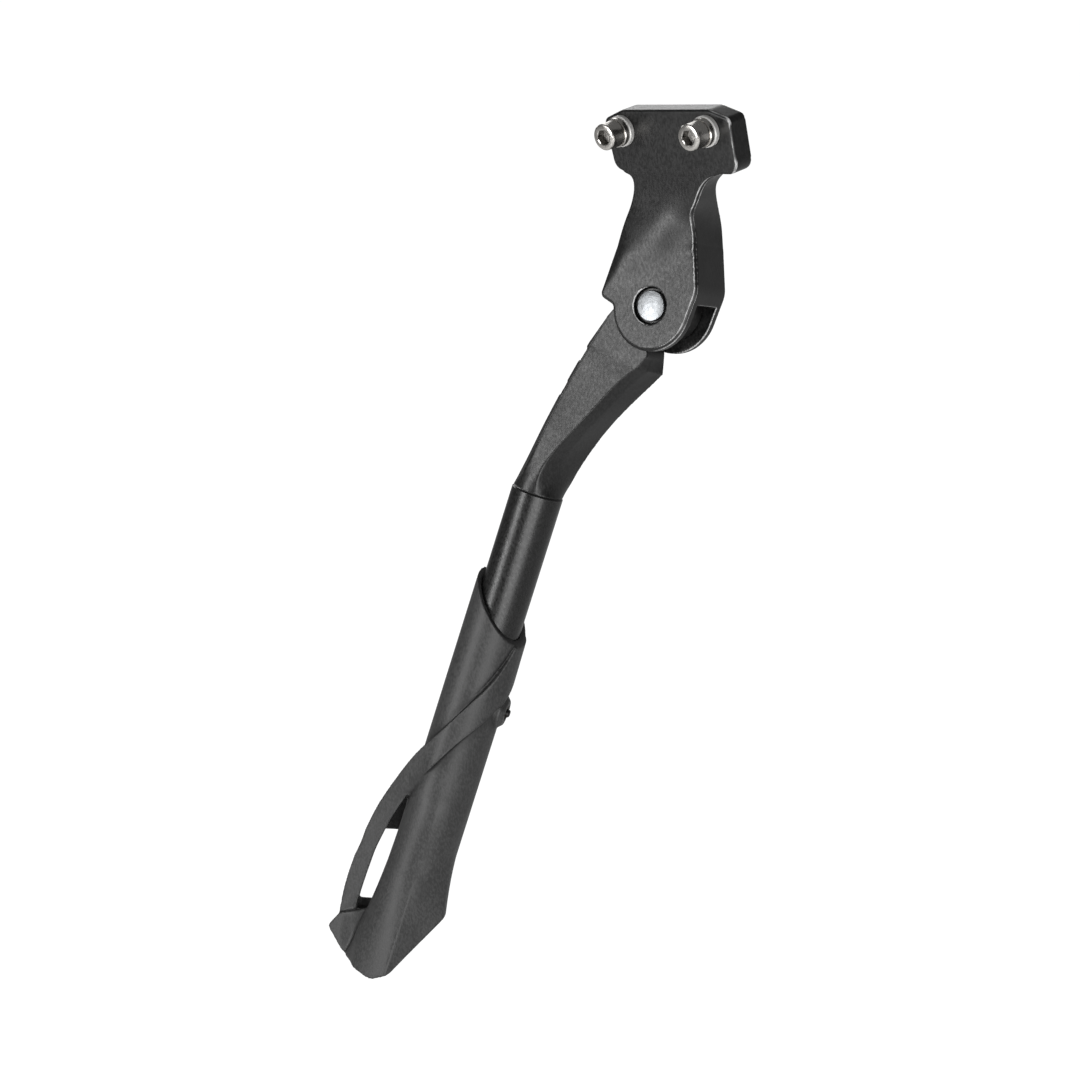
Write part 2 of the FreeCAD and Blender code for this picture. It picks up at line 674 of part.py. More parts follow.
def edge_pockets():
    """Two recesses in the front edge of the casting."""
    start = V(LEG_SECTIONS[0][0][0], 0, LEG_SECTIONS[0][0][1])
    end = V(LEG_SECTIONS[1][0][0], 0, LEG_SECTIONS[1][0][1])
    along = end.sub(start).normalize()
    turn = FreeCAD.Rotation(V(0, 0, -1), along)
    pockets = []
    for offset in LEG_POCKET_STARTS:
        pocket = Part.makeBox(2 * LEG_POCKET_DEPTH, LEG_POCKET_W, LEG_POCKET_LENGTH)
        centre = V(-LEG_POCKET_DEPTH, LEG_POCKET_Y - LEG_POCKET_W / 2, -LEG_POCKET_LENGTH)
        pocket.translate(centre)
        pockets.append(placed(pocket, FreeCAD.Placement(start + along * offset, turn)))
    return pockets


def upper_leg():
    """Casting with the hub bore, the plunger bore and the spigot for the tube."""
    spigot = rod(TUBE_D - 2 * TUBE_WALL, V(0, 0, 0), V(0, 0, -1), SPIGOT_LENGTH)
    body = casting_body().fuse(placed(spigot, SEAM)).cut(edge_pockets())
    hub_bore = rod(CAM_D + 2 * RUNNING_FIT, V(0, -CLEVIS_W, 0), V(0, 1, 0), 2 * CLEVIS_W)
    bore = rod(PLUNGER_D + 2 * RUNNING_FIT, V(0, 0, 0), plunger_direction(0), PLUNGER_BORE_END)
    return body.cut(hub_bore).cut(bore).removeSplitter()


def leg_tube():
    """Plain tube with lightly broken edges, pressed on the casting's spigot."""
    body = ring(TUBE_D, TUBE_D - 2 * TUBE_WALL, V(0, 0, 0), V(0, 0, -1), TUBE_LENGTH)
    rims = [edge for edge in body.Edges if len(edge.Vertexes) == 1]
    outer = [edge for edge in rims if abs(edge.Length - math.pi * TUBE_D) < 0.01]
    return body.makeChamfer(TUBE_EDGE, outer)


def quad(first, second, third, fourth):
    return Part.makePolygon([first, second, third, fourth, first])


def band_and_strap():
    """Band that wraps the sleeve and leaves it as a free strap down to the horn."""
    wires = []
    for angle, (upper, upper_rise), (lower, lower_rise), _ in BAND_STATIONS:
        upper_r = SLEEVE_D / 2 + upper_rise
        lower_r = SLEEVE_D / 2 + lower_rise
        wires.append(quad(
            polar(upper_r, angle, upper),
            polar(lower_r, angle, lower),
            polar(lower_r - BAND_T, angle, lower),
            polar(upper_r - BAND_T, angle, upper),
        ))
    for outer, inner, face in STRAP_STATIONS:
        wires.append(quad(
            V(outer[0], face, outer[1]),
            V(inner[0], face, inner[1]),
            V(inner[0] - STRAP_DRAFT, face + STRAP_T, inner[1]),
            V(outer[0], face + STRAP_T, outer[1]),
        ))
    return Part.makeLoft(wires, True, False)


def band_groove():
    """Hollow that sets the band's upper edge off from the sleeve and fades out towards the strap."""
    radius = SLEEVE_D / 2
    wires = []
    for angle, (upper, _), _, depth in BAND_STATIONS:
        if depth > 0:
            wires.append(quad(
                polar(radius - depth, angle, upper - 1),
                polar(radius - depth, angle, upper),
                polar(radius + GROOVE_LIP, angle, upper + GROOVE_W),
                polar(radius + GROOVE_LIP, angle, upper - 1),
            ))
    return Part.makeLoft(wires, True, False)


def hoof_section(level, radii):
    """Closed section of four curves, with corners at the front, the outer ridge and the rear."""
    points = [polar(radius, angle, level) for angle, radius in zip(HOOF_ANGLES, radii)]
    points.append(points[0])
    arcs = [Part.Arc(*points[first:first + 3]).toShape() for first in (0, 2, 4, 6)]
    return Part.Wire(arcs)


def hoof():
    """Lower end of the foot, flared and cut to the sole's outline."""
    flare = Part.makeLoft([hoof_section(*level) for level in HOOF_LEVELS], True, False)
    reach = 3 * SLEEVE_D
    top = HOOF_LEVELS[0][0] + 1
    cut = [
        (-reach, top, 0),
        (reach, top, 0),
        (reach, SOLE_HEEL[1] + (reach - SOLE_HEEL[0]) * SOLE_HEEL_SLOPE, 0),
        (SOLE_HEEL[0], SOLE_HEEL[1], SOLE_CORNER_R),
        (SOLE_BEVEL_END[0], SOLE_BEVEL_END[1], SOLE_TIP_R),
        (SOLE_TIP[0], SOLE_TIP[1], SOLE_TIP_R),
        (SOLE_TOE[0], SOLE_TOE[1], SOLE_CORNER_R),
        (-reach, SOLE_TOE[1] + (reach + SOLE_TOE[0]) * SOLE_TOE_SLOPE, 0),
    ]
    turn = FreeCAD.Placement(V(0, 0, 0), FreeCAD.Rotation(V(0, 0, 1), SOLE_TURN))
    return flare.common(placed(prism(cut, -reach, reach), turn))


def horn():
    """Wedge at the front of the hoof that the strap lands on."""
    corners = [
        (HORN_TOP[0], HORN_TOP[1], HORN_TOP_R),
        (HORN_ROOT_TOP[0], HORN_ROOT_TOP[1], 0),
        (HORN_ROOT_BOTTOM[0], HORN_ROOT_BOTTOM[1], 0),
        (HORN_TOE[0], HORN_TOE[1], HORN_TOE_R),
        (HORN_TIP[0], HORN_TIP[1], HORN_TIP_R),
    ]
    return prism(corners, HORN_FRONT, HORN_BACK)


def pocket_web():
    """Wall behind the strap, with the window through it."""
    corners = [(outer[0] + WEB_INSET, outer[1], 0) for outer, _, _ in STRAP_STATIONS[1:]]
    corners += [(WEB_ROOT_X, WEB_BOTTOM, 0), (WEB_ROOT_X, WEB_TOP, 0)]
    web = prism(corners, WEB_FRONT, WEB_FRONT + WEB_T)
    front_drop = (WINDOW_FRONT - WINDOW_STRAP_X) * WINDOW_SLOPE
    rear_gain = (WINDOW_REAR - WINDOW_STRAP_X) * WINDOW_SLOPE
    window = [
        (WINDOW_FRONT, WINDOW_BOTTOM + front_drop, WINDOW_CORNER_R),
        (WINDOW_REAR, WINDOW_BOTTOM + rear_gain, WINDOW_CORNER_R),
        (WINDOW_REAR, WINDOW_TOP + rear_gain, WINDOW_CORNER_R),
        (WINDOW_FRONT, WINDOW_TOP + front_drop, WINDOW_CORNER_R),
    ]
    return web.cut(prism(window, WEB_FRONT - 1, WEB_FRONT + WEB_T + 1))


def clamp_axis():
    return polar(1.0, CLAMP_ANGLE, 0)


def insert_start():
    """Distance from the sleeve's axis to the insert's inner end."""
    return SLEEVE_D / 2 + CLAMP_BOSS_RISE - CLAMP_INSERT_SUNK - CLAMP_INSERT_L


def clamp_boss():
    """Domed boss for the clamp screw."""
    axis = clamp_axis()
    height = SLEEVE_D / 2 + CLAMP_BOSS_RISE
    boss = Part.makeCylinder(CLAMP_BOSS_D / 2, height)
    top = [edge for edge in boss.Edges if abs(edge.CenterOfMass.z - height) < 1e-6]
    boss = boss.makeChamfer(CLAMP_BOSS_EDGE, top)
    return placed(boss, FreeCAD.Placement(V(0, 0, CLAMP_Z), FreeCAD.Rotation(V(0, 0, 1), axis)))


def above_mouth():
    """Space over the slanted mouth of the sleeve."""
    reach = 3 * SLEEVE_D
    corners = [
        (-reach, MOUTH_MIDDLE + reach * MOUTH_SLOPE, 0),
        (reach, MOUTH_MIDDLE - reach * MOUTH_SLOPE, 0),
        (reach, reach, 0),
        (-reach, reach, 0),
    ]
    return prism(corners, -reach, reach)


def foot():
    """One moulding: sleeve, band and strap, pocket web, horn, hoof and clamp boss."""
    sleeve = rod(SLEEVE_D, V(0, 0, 0), V(0, 0, -1), -SLEEVE_END)
    wrapped = sleeve.cut(band_groove()).fuse(band_and_strap()).cut(above_mouth())
    body = wrapped.fuse([hoof(), horn(), pocket_web(), clamp_boss()])
    bore = rod(TUBE_D + 2 * SLIDE_FIT, V(0, 0, 0), V(0, 0, -1), -TUBE_BORE_END)
    seat = V(0, 0, CLAMP_Z)
    insert_base = seat + clamp_axis() * insert_start()
    insert_hole = rod(CLAMP_INSERT_D, insert_base, clamp_axis(), SLEEVE_D)
    screw_hole = rod(CLAMP_SCREW_D + 2 * CLAMP_SCREW_HOLE_GAP, seat, clamp_axis(), SLEEVE_D)
    return body.cut([bore, insert_hole, screw_hole]).removeSplitter()


def clamp_insert():
    base = V(0, 0, CLAMP_Z) + clamp_axis() * insert_start()
    return ring(CLAMP_INSERT_D, CLAMP_SCREW_D, base, clamp_axis(), CLAMP_INSERT_L)


def clamp_screw():
    """Set screw whose end stands just clear of the tube."""
    start = TUBE_D / 2 + SCREW_TIP_FIT
    end = SLEEVE_D / 2 + CLAMP_BOSS_RISE + CLAMP_SCREW_PROUD
    body = Part.makeCylinder(CLAMP_SCREW_D / 2, end - start)
    rims = [edge for edge in body.Edges if len(edge.Vertexes) == 1]
    body = body.makeChamfer(CLAMP_SCREW_EDGE, rims)
    socket_start = V(0, 0, end - start - CLAMP_KEY_DEPTH)
    body = body.cut(hex_bar(CLAMP_KEY, socket_start, V(0, 0, 1), CLAMP_KEY_DEPTH))
    turn = FreeCAD.Rotation(V(0, 0, 1), clamp_axis())
    return placed(body, FreeCAD.Placement(V(0, 0, CLAMP_Z) + clamp_axis() * start, turn))


save(mounting_bracket(), "mounting_bracket")
for side, x in (("front", -SCREW_PITCH / 2), ("rear", SCREW_PITCH / 2)):
    save(mount_screw(x), "mount_screw_" + side)
    save(lock_washer(x), "lock_washer_" + side)
    save(flat_washer(x), "flat_washer_" + side)
save(placed(pivot_pin(), PIVOT), "pivot_pin")
save(placed(pin_ring(), PIVOT), "pin_ring")
save(placed(cam_bush(), PIVOT), "cam_bush")
save(placed(pivot_washer(-1), PIVOT), "pivot_washer_outer")
save(placed(pivot_washer(1), PIVOT), "pivot_washer_inner")
save(placed(upper_leg(), PIVOT), "upper_leg")
save(placed(detent_plunger(), PIVOT), "detent_plunger")
save(placed(detent_spring(), PIVOT), "detent_spring")
save(placed(leg_tube(), TUBE), "leg_tube")
save(placed(foot(), TUBE), "foot")
save(placed(clamp_insert(), TUBE), "clamp_insert")
save(placed(clamp_screw(), TUBE), "clamp_screw")
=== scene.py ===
# %% [markdown]
# # A bicycle kickstand
#
# The solids of the kickstand come from a CAD program: a cast bracket, a cast upper leg that folds
# on a pin, a steel tube and a moulded foot that slides on the tube. This lesson dresses them for a
# picture. It softens the edges of the castings, cuts threads and winds springs with Geometry
# Nodes, paints everything with procedural materials, and sets up a small studio around it.

# %% Load the frame
import bmesh
import bpy
import math
from mathutils import Matrix, Vector


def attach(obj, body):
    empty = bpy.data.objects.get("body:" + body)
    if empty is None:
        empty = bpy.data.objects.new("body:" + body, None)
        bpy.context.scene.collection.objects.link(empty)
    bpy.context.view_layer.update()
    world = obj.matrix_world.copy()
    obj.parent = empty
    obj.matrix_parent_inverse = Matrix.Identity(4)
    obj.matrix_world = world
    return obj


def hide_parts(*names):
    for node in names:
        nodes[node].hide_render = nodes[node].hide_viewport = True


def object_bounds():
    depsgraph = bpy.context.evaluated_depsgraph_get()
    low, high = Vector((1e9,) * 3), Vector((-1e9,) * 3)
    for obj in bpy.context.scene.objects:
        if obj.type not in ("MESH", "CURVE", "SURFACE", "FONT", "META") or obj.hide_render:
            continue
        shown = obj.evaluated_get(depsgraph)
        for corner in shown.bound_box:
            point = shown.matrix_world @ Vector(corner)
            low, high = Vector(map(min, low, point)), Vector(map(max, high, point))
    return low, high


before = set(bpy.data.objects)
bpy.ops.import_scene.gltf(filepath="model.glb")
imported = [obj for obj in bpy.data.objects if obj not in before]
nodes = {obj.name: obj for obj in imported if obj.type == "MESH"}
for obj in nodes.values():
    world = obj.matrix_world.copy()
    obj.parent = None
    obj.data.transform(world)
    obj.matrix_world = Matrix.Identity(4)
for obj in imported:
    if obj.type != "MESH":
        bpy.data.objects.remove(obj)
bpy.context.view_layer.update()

# %% [markdown]
# Every length below is in metres, the unit of the frame. The sizes are those of the real pieces,
# so a millimetre gets a name of its own and keeps the numbers readable.

# %% Sizes that several pieces share
MM = 0.001
SCREW_PITCH = 40 * MM
PLATE_FRONT = -8.25 * MM
SCREW_D = 6 * MM
WASHER_T = 2.0 * MM
LOCK_WASHER_T = 2.2 * MM
print("screw row:", SCREW_PITCH, "m")

# %% [markdown]
# ## Materials
#
# All looks are built from the same few nodes. A noise on Object coordinates stays in place when a
# piece moves, and its value can choose between two colours, set a roughness or lift a bump. An
# attribute stored on a mesh tells a material where something special is, such as a worn edge.

# %% Nodes that every material uses
def new_material(name):
    material = bpy.data.materials.new(name)
    material.use_nodes = True
    tree = material.node_tree
    return material, tree, tree.nodes["Principled BSDF"]


def noise(tree, scale, detail, stretch=(1, 1, 1)):
    """Noise on Object coordinates; a stretch under 1 draws it out along that axis."""
    where = tree.nodes.new("ShaderNodeTexCoord")
    mapping = tree.nodes.new("ShaderNodeMapping")
    mapping.inputs["Scale"].default_value = stretch
    tree.links.new(where.outputs["Object"], mapping.inputs["Vector"])
    texture = tree.nodes.new("ShaderNodeTexNoise")
    texture.inputs["Scale"].default_value = scale
    texture.inputs["Detail"].default_value = detail
    tree.links.new(mapping.outputs["Vector"], texture.inputs["Vector"])
    return texture.outputs["Fac"]


def attribute(tree, name):
    node = tree.nodes.new("ShaderNodeAttribute")
    node.attribute_name = name
    return node.outputs["Fac"]


def ramp(tree, source, low, high, start=0.3, end=0.7):
    """Colour that goes from low to high while the source goes from start to end."""
    node = tree.nodes.new("ShaderNodeValToRGB")
    node.color_ramp.elements[0].position = start
    node.color_ramp.elements[1].position = end
    node.color_ramp.elements[0].color = (*low, 1)
    node.color_ramp.elements[1].color = (*high, 1)
    tree.links.new(source, node.inputs["Fac"])
    return node.outputs["Color"]


def spread(tree, source, low, high):
    """Maps the middle of a noise to the range from low to high."""
    node = tree.nodes.new("ShaderNodeMapRange")
    node.inputs["From Min"].default_value = 0.3
    node.inputs["From Max"].default_value = 0.7
    node.inputs["To Min"].default_value = low
    node.inputs["To Max"].default_value = high
    tree.links.new(source, node.inputs["Value"])
    return node.outputs["Result"]


def multiplied(tree, value, factor, plus=0.0, clamp=False):
    """value x factor + plus, where factor and plus are numbers or other nodes' outputs."""
    node = tree.nodes.new("ShaderNodeMath")
    node.operation = "MULTIPLY_ADD"
    node.use_clamp = clamp
    for socket, source in zip(node.inputs, (value, factor, plus)):
        if isinstance(source, float):
            socket.default_value = source
        else:
            tree.links.new(source, socket)
    return node.outputs[0]


def blended(tree, share, colour, other):
    """Mixes a fixed colour into another one by a share from 0 to 1."""
    node = tree.nodes.new("ShaderNodeMix")
    node.data_type = "RGBA"
    node.inputs["B"].default_value = (*other, 1)
    tree.links.new(share, node.inputs["Factor"])
    tree.links.new(colour, node.inputs["A"])
    return node.outputs["Result"]


def bumped(tree, height, distance, strength=1.0, under=None):
    """Normal of a surface that the height lifts by the distance; under is a coarser or finer bump."""
    node = tree.nodes.new("ShaderNodeBump")
    node.inputs["Strength"].default_value = strength
    node.inputs["Distance"].default_value = distance
    tree.links.new(height, node.inputs["Height"])
    if under is not None:
        tree.links.new(under, node.inputs["Normal"])
    return node.outputs["Normal"]


# %% [markdown]
# A painted casting is never one flat colour. Its grain shows as a fine roughness, and paint that
# pooled or wore a little changes the tone. One function builds that family: a slow noise and a
# fast one for the tone, and a bump from each, so that the highlight breaks up where the eye
# expects it. Inner corners get painted shade, a darker colour, and the edges on one side get a
# painted highlight, a paler colour.

# %% Paints and plastic
GRAIN_DEPTH = 0.05 * MM


def grey(level):
    return (level,) * 3


def dimmed(colour, share):
    return tuple(channel * share for channel in colour)


def grained(name, dark, light, rough, grain, bump, highlight_colour=None, sway=0.0):
    """Dark paint or plastic with a slow sway, a fine grain, painted corner shade and painted edge
    highlights.
    """
    material, tree, shader = new_material(name)
    slow = noise(tree, 60, 3)
    fine = noise(tree, grain, 2, (1, 1, 0.5))
    tone = multiplied(tree, fine, 0.8, multiplied(tree, slow, 0.2))
    colour = ramp(tree, tone, dark, light, 0.42, 0.58)
    # Painted shade: the colour is darkened in inner corners and grooves.
    colour = blended(tree, attribute(tree, "hollow"), colour, dimmed(dark, 0.3))
    # Painted highlight: a paler colour on the outer edges that face one side, broken up by a noise.
    if highlight_colour:
        patchy = spread(tree, noise(tree, 400, 3), 0.4, 1.2)
        share = multiplied(tree, attribute(tree, "painted_highlight"), patchy, clamp=True)
        colour = blended(tree, share, colour, highlight_colour)
    tree.links.new(colour, shader.inputs["Base Color"])
    tree.links.new(spread(tree, fine, rough - 0.07, rough + 0.07), shader.inputs["Roughness"])
    relief = bumped(tree, fine, GRAIN_DEPTH, bump)
    tree.links.new(bumped(tree, slow, sway, under=relief), shader.inputs["Normal"])
    return material


# The last pale or grey colour of the casting paint and of the foot plastic is their painted edge
# highlight.
casting_paint = grained(
    "casting_paint", grey(0.003), grey(0.012), 0.37, 1300, 0.7, grey(0.75), 0.25 * MM
)
tube_paint = grained("tube_paint", grey(0.004), grey(0.012), 0.32, 1500, 0.6)
foot_plastic = grained(
    "foot_plastic", grey(0.027), grey(0.050), 0.48, 1500, 0.9, grey(0.10), 0.05 * MM
)
print("paints:", casting_paint.name, tube_paint.name, foot_plastic.name)

# %% [markdown]
# Bright steel is a mirror with scratches. Turned parts carry fine rings around their axis, but a
# stretched noise is enough at this size: it changes the roughness in thin streaks and leaves the
# colour nearly even. A washer that has lain in a drawer is duller, and counts as only partly bare.

# %% Bare metals
def metal(name, colour, rough, streak, stretch=(1, 12, 1), bare=1.0, dents=0.0):
    """Bare metal whose roughness changes in fine streaks, with painted shade in socket walls and with
    matt places.
    """
    material, tree, shader = new_material(name)
    streaks = noise(tree, 500, 4, stretch)
    tint = ramp(tree, streaks, dimmed(colour, 0.86), colour)
    # Painted shade: the socket walls get a darker colour.
    shaded = blended(tree, attribute(tree, "painted_socket_shade"), tint, dimmed(colour, 0.25))
    gloss = spread(tree, streaks, rough - streak, rough + streak)
    dull = multiplied(tree, attribute(tree, "matt"), 0.25, gloss)
    tree.links.new(shaded, shader.inputs["Base Color"])
    tree.links.new(dull, shader.inputs["Roughness"])
    tree.links.new(bumped(tree, noise(tree, 420, 2), dents), shader.inputs["Normal"])
    shader.inputs["Metallic"].default_value = bare
    return material


stainless = metal("stainless", (0.62, 0.60, 0.57), 0.22, 0.06)
washer_steel = metal("washer_steel", (0.80, 0.79, 0.77), 0.42, 0.05, bare=0.3)
zinc_plate = metal("zinc_plate", (0.26, 0.27, 0.28), 0.33, 0.06, (1, 1, 1), dents=0.08 * MM)
spring_wire = metal("spring_wire", (0.30, 0.30, 0.31), 0.36, 0.08)
blackened_steel = metal("blackened_steel", grey(0.06), 0.42, 0.08)
turned_brass = metal("turned_brass", (0.72, 0.54, 0.26), 0.30, 0.07)
print("metals:", stainless.name, washer_steel.name, zinc_plate.name, spring_wire.name)

# %% [markdown]
# Each solid gets the finish of the real piece. The ones that stay as they are, because nobody
# sees more of them than an edge, only need this step.

# %% Paint the solids
finish = {
    "mounting_bracket": (casting_paint, "black_casting"),
    "upper_leg": (casting_paint, "black_casting"),
    "leg_tube": (tube_paint, "black_tube"),
    "foot": (foot_plastic, "black_plastic"),
    "pivot_pin": (zinc_plate, "zinc_steel"),
    "pin_ring": (spring_wire, "spring_steel"),
    "cam_bush": (zinc_plate, "zinc_steel"),
    "pivot_washer_outer": (zinc_plate, "zinc_steel"),
    "pivot_washer_inner": (zinc_plate, "zinc_steel"),
    "detent_plunger": (zinc_plate, "zinc_steel"),
    "detent_spring": (spring_wire, "spring_steel"),
    "clamp_insert": (turned_brass, "brass_insert"),
    "clamp_screw": (blackened_steel, "spring_steel"),
}
for place in ("front", "rear"):
    finish["mount_screw_" + place] = (stainless, "bright_steel")
    finish["lock_washer_" + place] = (stainless, "bright_steel")
    finish["flat_washer_" + place] = (washer_steel, "bright_steel")

for name, solid in nodes.items():
    for material_slot in solid.material_slots:
        material_slot.material = finish[name][0]
print("painted:", len(nodes))

# %% [markdown]
# ## Soft edges on the castings and the moulding
#
# A sand casting and a plastic moulding have no sharp edge anywhere. Rounding every edge of a CAD
# mesh one by one is slow and breaks easily. A voxel remesh does it in one go: it rebuilds the
# solid from small even cells, a few rounds of smoothing melt the edges, and a decimate takes away
# the cells that flat areas don't need.
#
# A few helpers come first. The CAD's meshes are loose triangles with stored normals, so a copy has
# its corners joined and those normals dropped, or it would never shade smoothly.

# %% Copy, bake and hand over a piece
def link(name, mesh):
    piece = bpy.data.objects.new(name, mesh)
    bpy.context.scene.collection.objects.link(piece)
    return piece


def welded_copy(node):
    """Copy of a solid's mesh with its loose triangles joined and its stored normals dropped."""
    mesh = nodes[node].data.copy()
    if "custom_normal" in mesh.attributes:
        mesh.attributes.remove(mesh.attributes["custom_normal"])
    work = bmesh.new()
    work.from_mesh(mesh)
    bmesh.ops.remove_doubles(work, verts=work.verts, dist=0.001 * MM)
    work.to_mesh(mesh)
    work.free()
    return mesh


def bake_modifiers(piece):
    """Replaces a piece's mesh by what its modifiers make of it."""
    graph = bpy.context.evaluated_depsgraph_get()
    mesh = bpy.data.meshes.new_from_object(piece.evaluated_get(graph))
    piece.modifiers.clear()
    piece.data = mesh


def finished(piece, body, material, slot, *replaced):
    """Paints a piece, lets it ride on its body and stand for the solids it replaces."""
    piece.data.materials.clear()
    piece.data.materials.append(material)
    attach(piece, body)
    if replaced:
        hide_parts(*replaced)
    print(piece.name, "faces:", len(piece.data.polygons))
    return piece


# %% [markdown]
# The paint gets painted highlights on outer edges and painted shade in inner corners. The fine mesh
# tells both: a point that stands out from its neighbours lies on an outer edge, and one that lies
# behind them is in a corner. The results are stored as the attributes that the paint reads. Only
# the edges that face one way get the painted highlight, the side where a lamp would glint on them.

# %% Painted highlights on edges and painted shade in corners
EDGE_BEND = 0.075
SHADE_ROUNDS = 4
SHADE_FADE = 0.8
FACING_START = 0.88
FACING_RANGE = 0.06
# Side and strength of the painted edge highlight on the bracket, the leg and the foot.
HIGHLIGHT_PLATE = (Vector((0.72, -0.69, 0)), 1.0)
HIGHLIGHT_LEG = (Vector((-0.46, -0.89, 0)), 0.35)
HIGHLIGHT_FOOT = (Vector((0.72, -0.69, 0)), 0.5)


def clamped(value):
    return min(max(value, 0), 1)


def outward_bend(point):
    """How far a point stands out from its neighbours; negative in an inner corner."""
    bends = [
        point.normal.dot(point.co - edge.other_vert(point).co) / edge.calc_length()
        for edge in point.link_edges
    ]
    return sum(bends) / max(len(bends), 1) / EDGE_BEND


def facing(normal, direction):
    """1 where the level part of a normal points in the direction, 0 where it points away."""
    level = Vector((normal.x, normal.y, 0))
    return clamped((level.dot(direction) - FACING_START * level.length) / FACING_RANGE)


def widened(points, hollow):
    """Lets the painted shade of each point reach its neighbours, a little fainter."""
    result = []
    for point in points:
        nearby = max(hollow[edge.other_vert(point).index] for edge in point.link_edges)
        result.append(max(hollow[point.index], SHADE_FADE * nearby))
    return result


def mark_edges(mesh, direction, amount):
    """Two attributes: painted highlight on outer edges of one side, painted shade in the inner corners.
    """
    work = bmesh.new()
    work.from_mesh(mesh)
    bends = [outward_bend(point) for point in work.verts]
    # Painted highlight: outer edges that face the given side get a paler colour.
    painted_highlight = [
        amount * clamped(2 * bend - 1) * facing(point.normal, direction)
        for bend, point in zip(bends, work.verts)
    ]
    # Painted shade: points in inner corners get a darker colour, which then spreads a little.
    hollow = [clamped(-bend) for bend in bends]
    for _ in range(SHADE_ROUNDS):
        hollow = widened(work.verts, hollow)
    work.free()
    mesh.attributes.new("painted_highlight", "FLOAT", "POINT").data.foreach_set("value", painted_highlight)
    mesh.attributes.new("hollow", "FLOAT", "POINT").data.foreach_set("value", hollow)


# %% [markdown]
# Now the remesh itself. Some places need a hand between the remesh and the decimate, so each
# casting brings a function that adjusts its fine mesh. What such a function changes is smoothed
# by a vertex group, whose weights say how much of the smoothing each point takes.

# %% Melt the edges of a solid
KEPT_SHARE = 0.4


def eased(value):
    """0 to 1 with a soft start and end."""
    value = clamped(value)
    return value * value * (3 - 2 * value)


def soften(piece, rounds, group=""):
    smooth = piece.modifiers.new("soften", "SMOOTH")
    smooth.factor = 0.5
    smooth.iterations = rounds
    smooth.vertex_group = group


def soften_by(piece, title, rounds, share_at):
    """Smooths a piece by the share that a function gives for each place."""
    group = piece.vertex_groups.new(name=title)
    for point in piece.data.vertices:
        share = share_at(point.co)
        if share > 0.01:
            group.add([point.index], share, "REPLACE")
    soften(piece, rounds, title)


def add_rod(mesh, start, end, radius):
    """Adds a closed rod to a mesh; the voxel remesh makes both one body."""
    work = bmesh.new()
    work.from_mesh(mesh)
    line = end - start
    turn = line.to_track_quat("Z", "Y").to_matrix().to_4x4()
    bmesh.ops.create_cone(
        work,
        cap_ends=True,
        segments=16,
        radius1=radius,
        radius2=radius,
        depth=line.length,
        matrix=Matrix.Translation((start + end) / 2) @ turn,
    )
    work.to_mesh(mesh)
    work.free()


def melted(name, node, body, cell, rounds, edges, shape, rods=()):
    """Softened copy of a solid; shape adjusts the fine mesh before it's thinned."""
    piece = link(name, welded_copy(node))
    for rod in rods:
        add_rod(piece.data, *rod)
    remesh = piece.modifiers.new("cells", "REMESH")
    remesh.mode = "VOXEL"
    remesh.voxel_size = cell
    soften(piece, rounds)
    bake_modifiers(piece)
    shape(piece)
    thin = piece.modifiers.new("thin", "DECIMATE")
    thin.ratio = KEPT_SHARE
    bake_modifiers(piece)
    mark_edges(piece.data, *edges)
    piece.data.shade_smooth()
    material, slot = finish[node]
    return finished(piece, body, material, slot, node)


# %% [markdown]
# The bracket's neck turns from the upright plate to the tilted ears. In the casting that turn is
# one soft sweep that starts at the rear and ends at the front. Here the fine mesh of the outer face
# gets a low swell along that slanting line, and then many rounds of smoothing, strongest in the
# middle of the neck and fading out towards its edges.

# %% Sweep of the neck
CASTING_CELL = 0.3 * MM
CASTING_ROUNDS = 6
NECK_TOP = -20 * MM
NECK_BOTTOM = -56 * MM
NECK_FADE = 8 * MM
NECK_MARGIN = 2.5 * MM
SWEEP_MIDDLE = -33.0 * MM
SWEEP_RISE = 0.53
SWEEP_REACH = 7 * MM
SWEEP_SWELL = 1.3 * MM
SWEEP_FADE = 15 * MM
SWEEP_ROUNDS = 400
EAR_NORMAL = Vector((0.195, -0.916, 0.350))


def neck_limits(mesh):
    """Front and rear end of the outer face, for each millimetre of height."""
    limits = {}
    for point in mesh.vertices:
        if point.normal.dot(EAR_NORMAL) > 0.85 and point.co.y < -6 * MM:
            row = round(point.co.z / MM)
            front, rear = limits.get(row, (1, -1))
            limits[row] = (min(front, point.co.x), max(rear, point.co.x))
    return limits


def neck_share(point, limits):
    """1 in the middle of the neck's outer face, 0 at its edges and elsewhere."""
    place = point.co
    if point.normal.dot(EAR_NORMAL) < 0.6 or place.y > -4 * MM:
        return 0
    front, rear = limits.get(round(place.z / MM), (0, 0))
    across = eased((place.x - front) / NECK_MARGIN) * eased((rear - place.x) / NECK_MARGIN)
    return across * eased((NECK_TOP - place.z) / NECK_FADE) * eased((place.z - NECK_BOTTOM) / NECK_FADE)


def sweep_neck(piece):
    mesh = piece.data
    limits = neck_limits(mesh)
    shares = [neck_share(point, limits) for point in mesh.vertices]
    group = piece.vertex_groups.new(name="neck")
    for point, share in zip(mesh.vertices, shares):
        if share > 0.01:
            group.add([point.index], share, "REPLACE")
            off = (point.co.z - SWEEP_RISE * point.co.x - SWEEP_MIDDLE) / math.hypot(1, SWEEP_RISE)
            rear = limits[round(point.co.z / MM)][1]
            swell = SWEEP_SWELL * share * eased((rear - point.co.x) / SWEEP_FADE)
            point.co += EAR_NORMAL * swell * math.exp(-((off / SWEEP_REACH) ** 2))
    soften(piece, SWEEP_ROUNDS, "neck")


melted(
    "bracket_casting",
    "mounting_bracket",
    "bracket",
    CASTING_CELL,
    CASTING_ROUNDS,
    HIGHLIGHT_PLATE,
    sweep_neck,
)

